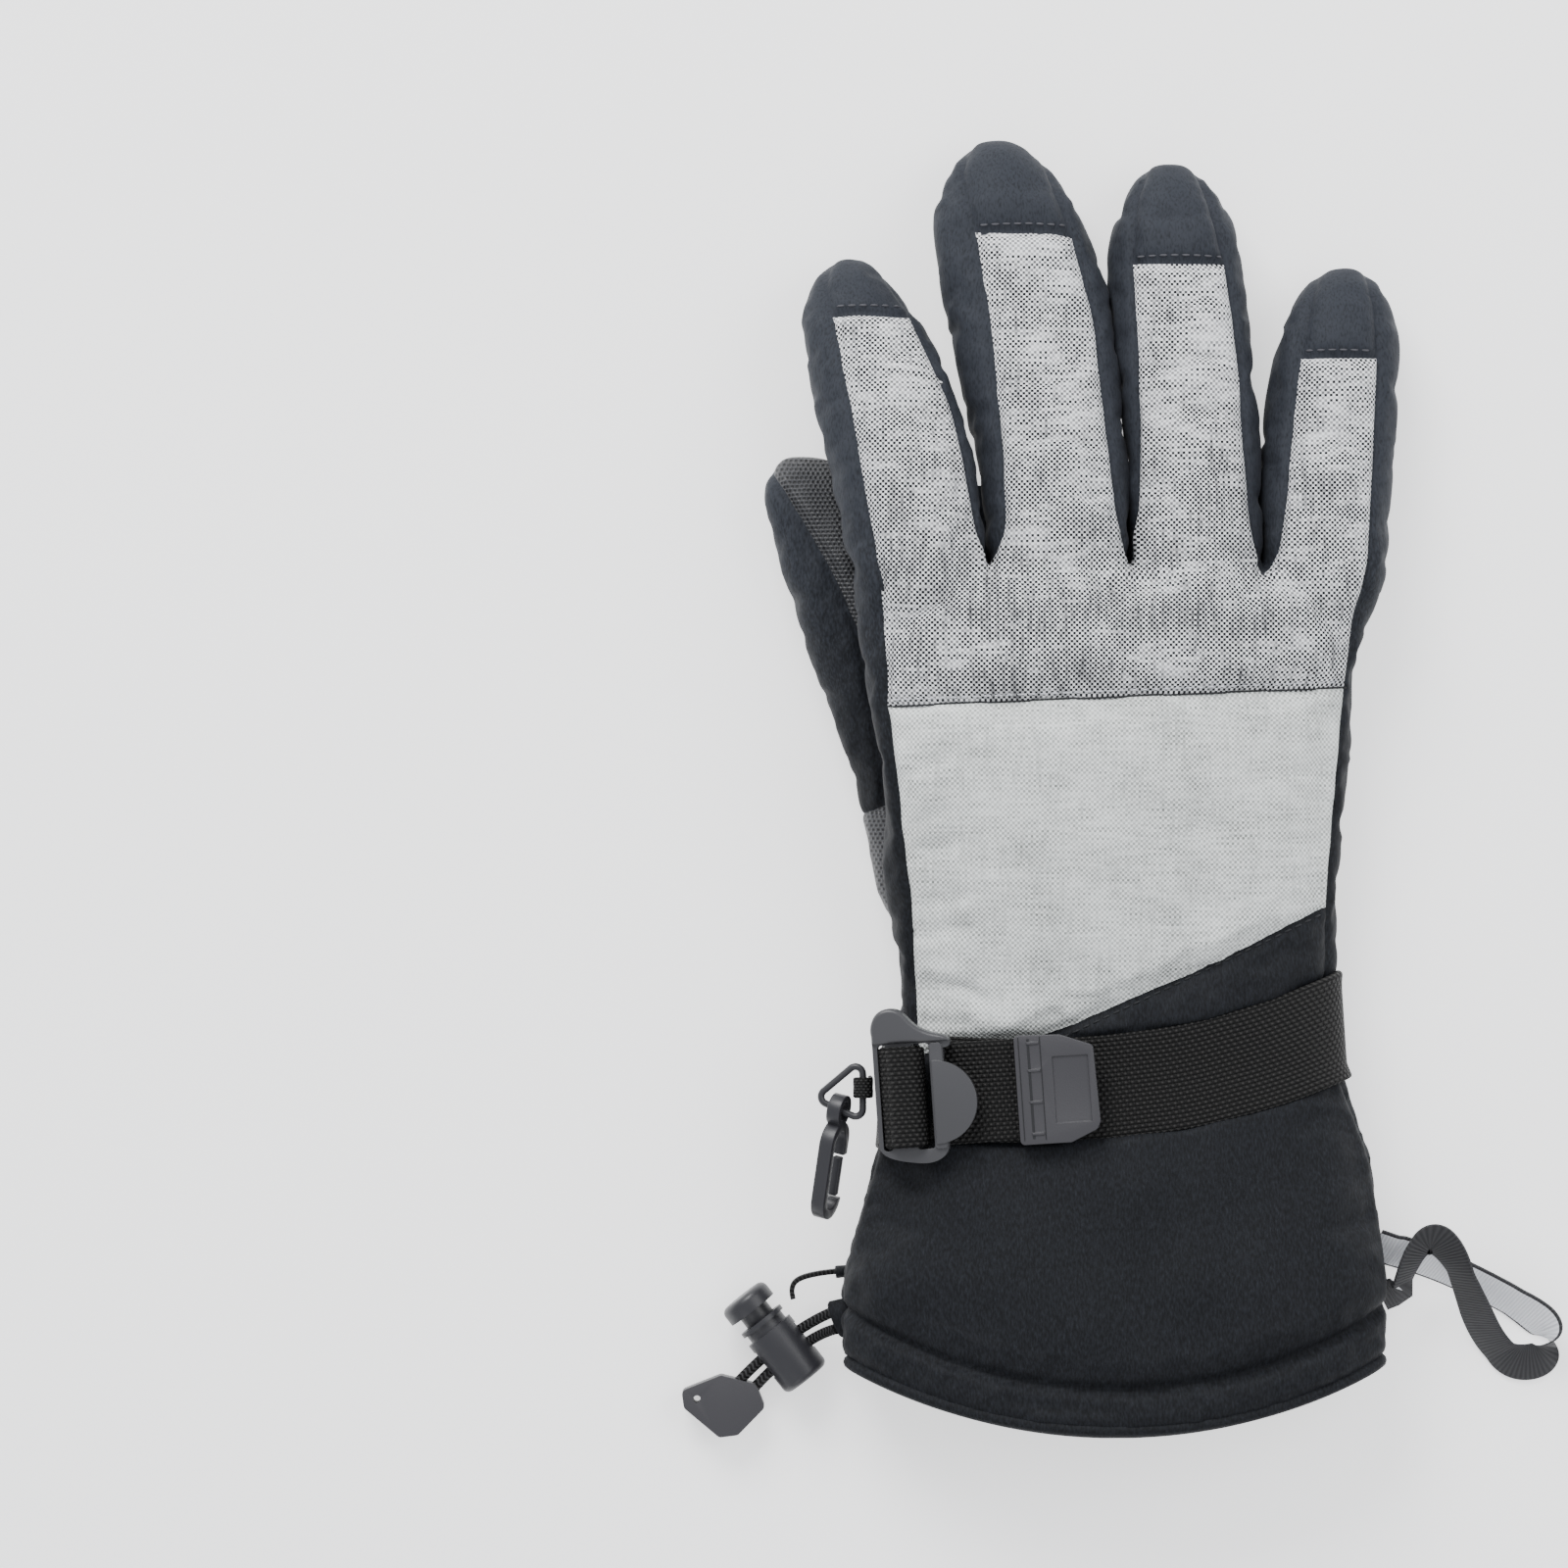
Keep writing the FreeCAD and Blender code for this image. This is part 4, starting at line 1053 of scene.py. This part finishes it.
def wrist_strap(materials):
    """Webbing round the wrist from under the buckle, over the back and down the outer side."""
    turns = np.concatenate([np.linspace(2.5, 0.25, 90), np.linspace(0.24, -0.95, 50)])
    profile = webbing_profile(25.0, 1.7, 17)
    y = np.full((len(turns), len(profile)), -72.0)
    for _ in range(4):
        x = surface_point(turns[:, None], y, 0.9)[..., 0]
        slant = (strap_centre(x + 1) - strap_centre(x - 1)) / 2
        y = strap_centre(x) + profile[None, :, 0] * np.sqrt(1 + slant ** 2)
    points = surface_point(turns[:, None], y, 1.0 + profile[None, :, 1])
    keep = np.flatnonzero(points[:, 0, 0] > -37.5)
    points = points[keep[0]:] if keep[0] == 0 else points[keep]
    rows, columns = points.shape[:2]
    thing = new_object("wrist_webbing", points, tube_faces(rows, columns), MM)
    keep_rest(thing.data, np.stack([np.repeat(lengths(points.mean(1)), columns), np.tile(profile[:, 0], rows),
                                    np.zeros(rows * columns)], -1))
    thing.data.materials.append(materials["webbing"])
    smooth_by_angle(thing, 50)
    place(thing, "webbing", "hand", "wrist_strap")


def buckle_and_tail(materials):
    """Ladder buckle, the webbing on its bars, and the strap's free end with its pull tab."""
    eased_part("ladder_buckle", materials["buckle_plastic"], "buckle", 0.45)
    across = on_buckle([(0, 1, 0)])[0] - BUCKLE_CENTRE
    wraps = (("buckle_webbing", 24.4, 1.5,
              [(-9.9, 0, -2.6), (-10.3, 0, -0.8), (-10.2, 0, 1.6), (-8.8, 0, 2.7), (-6.0, 0, 2.8),
               (-4.2, 0, 2.8), (-2.4, 0, 2.5), (-1.9, 0, 0.4), (-1.8, 0, -1.3)]),
             ("buckle_fold", 23.6, 1.1,
              [(-7.0, 0, 3.5), (-8.6, 0, 3.6), (-8.2, 0, 4.5), (-6.0, 0, 4.8), (-3.6, 0, 4.5),
               (-2.0, 0, 3.6), (-0.9, 0, 1.6), (-0.8, 0, -1.4)]))
    for name, width, thick, line in wraps:
        loop = strap(name, on_buckle(line), 60, across, webbing_profile(width, thick), materials["webbing"])
        place(loop, "webbing", "buckle")
    side = [(-47.2, -76.3, 6.6), (-48.3, -76.3, 12.0), (-48.6, -76.3, 18.0), (-48.4, -76.3, 24.0),
            (-47.8, -76.3, 28.5), (-46.8, -76.3, 31.4)]
    anchor = strap("anchor_webbing", side, 50, (0.06, 1, 0), webbing_profile(25.0, 1.5), materials["webbing"])
    place(anchor, "webbing", "hand", "buckle_anchor")
    line = on_buckle([(x, 0, -2.9) for x in (1.4, 6, 12, 20, 31.7)])
    tail = strap("tail_webbing", line, 60, across, webbing_profile(24.6, 1.5), materials["webbing"])
    place(tail, "webbing", "strap_tail", "strap_tail")
    eased_part("strap_tab", materials["soft_rubber"], "strap_tail", 0.35)
    # tab_seam is a row of dark stitching; the thin dark strips along the tab's edge and its step are painted
    # shade
    for name, x, width, reach in (("tab_seam", 25.0, 0.6, 12.0), ("tab_edge_shadow_line", 22.7, 0.25, 12.4),
                                  ("tab_step_shadow_line", 27.9, 0.25, 12.4)):
        line = on_buckle([(x, y, -0.16) for y in np.linspace(-reach, reach, 40)])
        mark = band(name, line, np.tile(on_buckle([(1, 0, 0)])[0] - BUCKLE_CENTRE, (40, 1)),
                    webbing_profile(width, 0.22, 3), materials["thread"])
        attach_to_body(mark, "strap_tail")


def ring_and_hook(materials):
    """Triangle ring on its webbing tab, snap hook and gate."""
    eased_part("triangle_ring", materials["hardware_plastic"], "ring_link", 0.1, 2)
    eased_part("hook_body", materials["hardware_plastic"], "hook", 0.6)
    eased_part("hook_gate", materials["hardware_plastic"], "gate", 0.4)
    low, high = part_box("ring_tab")
    x, y = high.x / MM - 0.5, (low.y + high.y) / 2 / MM
    line = [(x, y, low.z / MM), (x + 0.2, y, 27), (x, y, 30.6), (x - 1.2, y, 31.6), (x - 3.4, y, 31.0),
            (x - 3.9, y, 29.2), (x - 3.0, y, 27.9), (x - 0.8, y, 27.6)]
    tab = strap("ring_webbing", line, 50, (0, 1, 0), webbing_profile(5.0, 0.9, 7), materials["braid"])
    place(tab, "braid", "hand", "ring_tab")


def nurbs_cord(name, route, diameter, material=None):
    """A round cord along a part's own route; of no thickness, its centre line."""
    data = bpy.data.curves.new(name, "CURVE")
    data.dimensions = "3D"
    spline = data.splines.new("NURBS")
    spline.points.add(len(route) - 1)
    for point, place in zip(spline.points, route):
        point.co = (*(c * MM for c in place), 1)
    spline.order_u = 3
    spline.use_endpoint_u = True
    spline.resolution_u = 16
    data.bevel_depth = diameter * MM / 2
    data.bevel_resolution = 6
    data.use_fill_caps = True
    if material:
        data.materials.append(material)
    thing = bpy.data.objects.new(name, data)
    bpy.context.scene.collection.objects.link(thing)
    return thing


def channel_mouth(name, at, way, size, material):
    """The turned end of a fabric channel that cords come out of: a flat tube with a rolled lip."""
    way = unit(np.array(way, float))
    side = unit(np.cross(way, (0, 0, 1.0)))
    up = np.cross(side, way)
    turn = np.linspace(0, 2 * np.pi, 28, endpoint=False)[:, None]
    rings = [(-4.5, 0.9), (-1.0, 1.0), (0.3, 1.04), (0.8, 0.94), (0.6, 0.8), (-0.6, 0.74), (-4.0, 0.7)]
    points = [at + way * along + side * np.cos(turn) * size[0] * grow + up * np.sin(turn) * size[1] * grow
              for along, grow in rings]
    return soft_piece(name, np.concatenate(points), grid_faces(len(rings), 28), material)


def cords(materials):
    """Drawcord legs with their lock and moulded end, the lock's tether, and the wrist leash."""
    plastic = materials["hardware_plastic"]
    barrel = eased_part("lock_barrel", plastic, "lock", 0.5)
    spring = eased_part("lock_spring", materials["spring_steel"], "lock", 0.1, 2)
    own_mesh(spring)
    plunger = eased_part("lock_plunger", plastic, "plunger", 0.5)
    end = eased_part("cord_end", materials["soft_rubber"], "hand", 0.8)
    for name, route in DRAWCORDS.items():
        line = nurbs_cord(name + "_sheath", route, 2.6, materials["elastic_cord"])
        place(line, "elastic_cord", "hand", name)
    for name, at, way, size in (("cord_mouth", (-59.2, -130.6, 12.7), (-0.9, -0.36, -0.25), (4.6, 2.6)),
                                ("tether_mouth", (-58.9, -119.2, 10.6), (-1, -0.1, 0), (1.5, 2.9))):
        mouth = channel_mouth(name, at, way, size, materials["softshell"])
        place(mouth, "softshell", "hand")
    line = [(x, y, 10.6) for x, y in ((-59.6, -119.1), (-66.2, -119.7), (-71.0, -122.3), (-69.95, -125.8))]
    tether = strap("tether_braid", line, 40, (0, 0, 1), webbing_profile(4.0, 1.1, 7), materials["braid"])
    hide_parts("lock_tether")
    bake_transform(tether)
    path = spline_points(LEASH_ROUTE)
    line = np.concatenate([[(71.5, -112.2, 13.4)], path, [(75.4, -124.2, 12.7), (73.0, -125.1, 12.3)]])
    lean = np.clip((line[:, 2] - 0.8) / 5.25, 0.1, 0.7)
    across = np.stack([np.zeros(len(line)), np.sqrt(1 - lean ** 2), lean], -1)
    leash = band("leash_ribbon", line, across, ribbon_profile(10.5, 0.9), materials["ribbon"])
    for vertex in leash.data.vertices:
        vertex.co.z = max(vertex.co.z, FLOOR_CLEAR * MM)
    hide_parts("leash_loop")
    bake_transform(leash)


# ---------------------------------------------------------------- lining, hem and stitching
def lining_and_hem(materials):
    """The lining seen through the cuff's mouth, and the rolled edge that joins it to the hem."""
    around, deep = 140, 60
    turns = 2 * np.pi * (np.arange(around) + 0.5) / around
    x = surface_point(turns, np.full(around, -150.0), -4.5)[:, 0]
    edge_y = HEM_ARC[1] - np.sqrt(HEM_ARC[2] ** 2 - (x - HEM_ARC[0]) ** 2)
    share = np.linspace(0, 1, deep)[:, None] ** 1.3
    y = (edge_y + 1.0) * (1 - share) + 20 * share
    points = oval(lerp_rows(HAND, y), y, turns[None, :], 4.5)
    ripple = 0.7 * wave(points.reshape(-1, 3), 22, 31).reshape(deep, around, 1)
    points += unit(points - points.mean(1, keepdims=True)) * ripple
    faces = [f[::-1] for f in grid_faces(deep, around)]
    faces.append([(deep - 1) * around + k for k in range(around)][::-1])
    place(soft_piece("cuff_lining", points, faces, materials["lining"]), "lining", "hand", "hand_lining")
    outer = oval(lerp_rows(HAND, edge_y), edge_y, turns, 0.2)
    inner = oval(lerp_rows(HAND, edge_y), edge_y, turns, 4.6)
    out_way = unit(outer - inner)
    centre = (outer + inner) / 2 + (0, 0.6, 0)
    ring_turn = 2 * np.pi * np.arange(12) / 12
    rim = (centre[:, None] + out_way[:, None] * np.cos(ring_turn)[None, :, None] * 2.3
           + np.array((0, -1.9, 0)) * np.sin(ring_turn)[None, :, None])
    rim = np.concatenate([rim, rim[:1]])
    place(soft_piece("hem_edge", rim, grid_faces(len(rim), 12), materials["softshell"]), "softshell", "hand")


def crotch_webs(materials):
    """Folded side fabric that closes the bottom of the slit between two fingers."""
    for number, line in enumerate(PARTINGS):
        y = np.linspace(51, 72, 14)[:, None]
        across = np.linspace(-1, 1, 9)[None, :]
        x = across_at(line, y) + across * 3.4
        tables = [lerp_rows(sections, y[:, 0]) for sections in list(FINGERS.values())[number:number + 2]]
        height = ((tables[0][:, 2] + tables[1][:, 2]) / 2)[:, None]
        z = height - 4.0 - 2.2 * (1 - across ** 2) - 0.22 * (y - 48)
        points = np.stack([x, y + 0 * x, z], -1)
        web = soft_piece(f"crotch_web_{number}", points, grid_faces(14, 9, False), materials["softshell"])
        place(web, "softshell", "hand")


def row_of_stitches(name, plan, surface, below, material, owner, pitch=2.7, length=1.9, radius=0.24):
    """Lock stitches lying on the fabric along a line in plan."""
    plan = np.array(plan, float)
    along = lengths(plan)
    points, faces = [], []
    side_up = 1 if below else -1

    def lay(at):
        """The place on the fabric this far along the line, and its normal."""
        x, y = (np.interp(at, along, plan[:, k]) for k in (0, 1))
        hit, way, _, _ = surface.ray_cast(Vector((x, y, -90 * side_up)), Vector((0, 0, side_up)))
        return (None, None) if hit is None else (np.array(hit), np.array(way))

    for start in np.arange(pitch / 2, along[-1], pitch):
        a, b, (m, way) = lay(start - length / 2)[0], lay(start + length / 2)[0], lay(start)
        if a is None or b is None or m is None or np.linalg.norm(b - a) > 2.5 * length:
            continue
        tangent = unit(b - a)
        side = unit(np.cross(tangent, way))
        up = np.cross(side, tangent)
        base = len(points)
        for share, thick in ((-0.5, 0.35), (-0.3, 0.95), (0.0, 1.1), (0.3, 0.95), (0.5, 0.35)):
            centre = m + tangent * share * length + up * radius * (0.5 if abs(share) < 0.4 else 0.1)
            for k in range(6):
                turn = math.pi / 3 * k
                points.append(centre + (side * math.cos(turn) + up * math.sin(turn)) * radius * thick)
        faces += [[base + k for k in face] for face in tube_faces(5, 6)]
    thing = new_object(name, points, faces, MM)
    thing.data.shade_smooth()
    thing.data.materials.append(material)
    attach(thing, owner)
    return thing


def stitching(materials, shape, faces):
    """Rows of topstitching beside the seams, and a dark line of painted shadow along the knuckle seam."""
    surface = BVHTree.FromPolygons(shape.tolist(), faces)
    dark, pale, light = (materials[kind] for kind in ("thread", "pale_thread", "light_thread"))
    row_of_stitches("knuckle_stitches", [(-46.5, 19.7), (62.5, 24.2)], surface, False, light, "knuckle_panel",
                    radius=0.2)
    # painted shadow: close dark thread pieces along the knuckle seam stand for the shade under its fold
    row_of_stitches("knuckle_seam_shadow_line", [(-47.2, 18.1), (64.0, 22.8)], surface, False, dark, "knuckle_panel",
                    1.1, 1.5, 0.26)
    row_of_stitches("wedge_stitches", [(-8, -62.9), (58.6, -31.6)], surface, False, dark, "wrist_wedge")
    for name, (left, right, cap_y) in STRIPS.items():
        x_left, x_right = side_at(left, cap_y) + 1, side_at(right, cap_y) - 1
        x = np.linspace(x_left, x_right, 9)
        y = cap_y + 1.9 - CAP_BOW * (x - (x_left + x_right) / 2) ** 2
        row_of_stitches(name + "_cap_stitches", np.stack([x, y], -1), surface, False, pale,
                        name + "_fingertip")
    for number, y in enumerate((-54.0, -62.0)):
        row_of_stitches(f"shirring_stitches_{number}", [(-36, y), (54, y)], surface, True, dark,
                        "wrist_shirring", 3.2, 2.4)


def main():
    camera_and_light()
    materials = all_materials()
    cords(materials)
    wrist_strap(materials)
    buckle_and_tail(materials)
    ring_and_hook(materials)
    shape, faces = glove(materials)
    thumb(materials)
    lining_and_hem(materials)
    crotch_webs(materials)
    stitching(materials, shape, faces)


main()
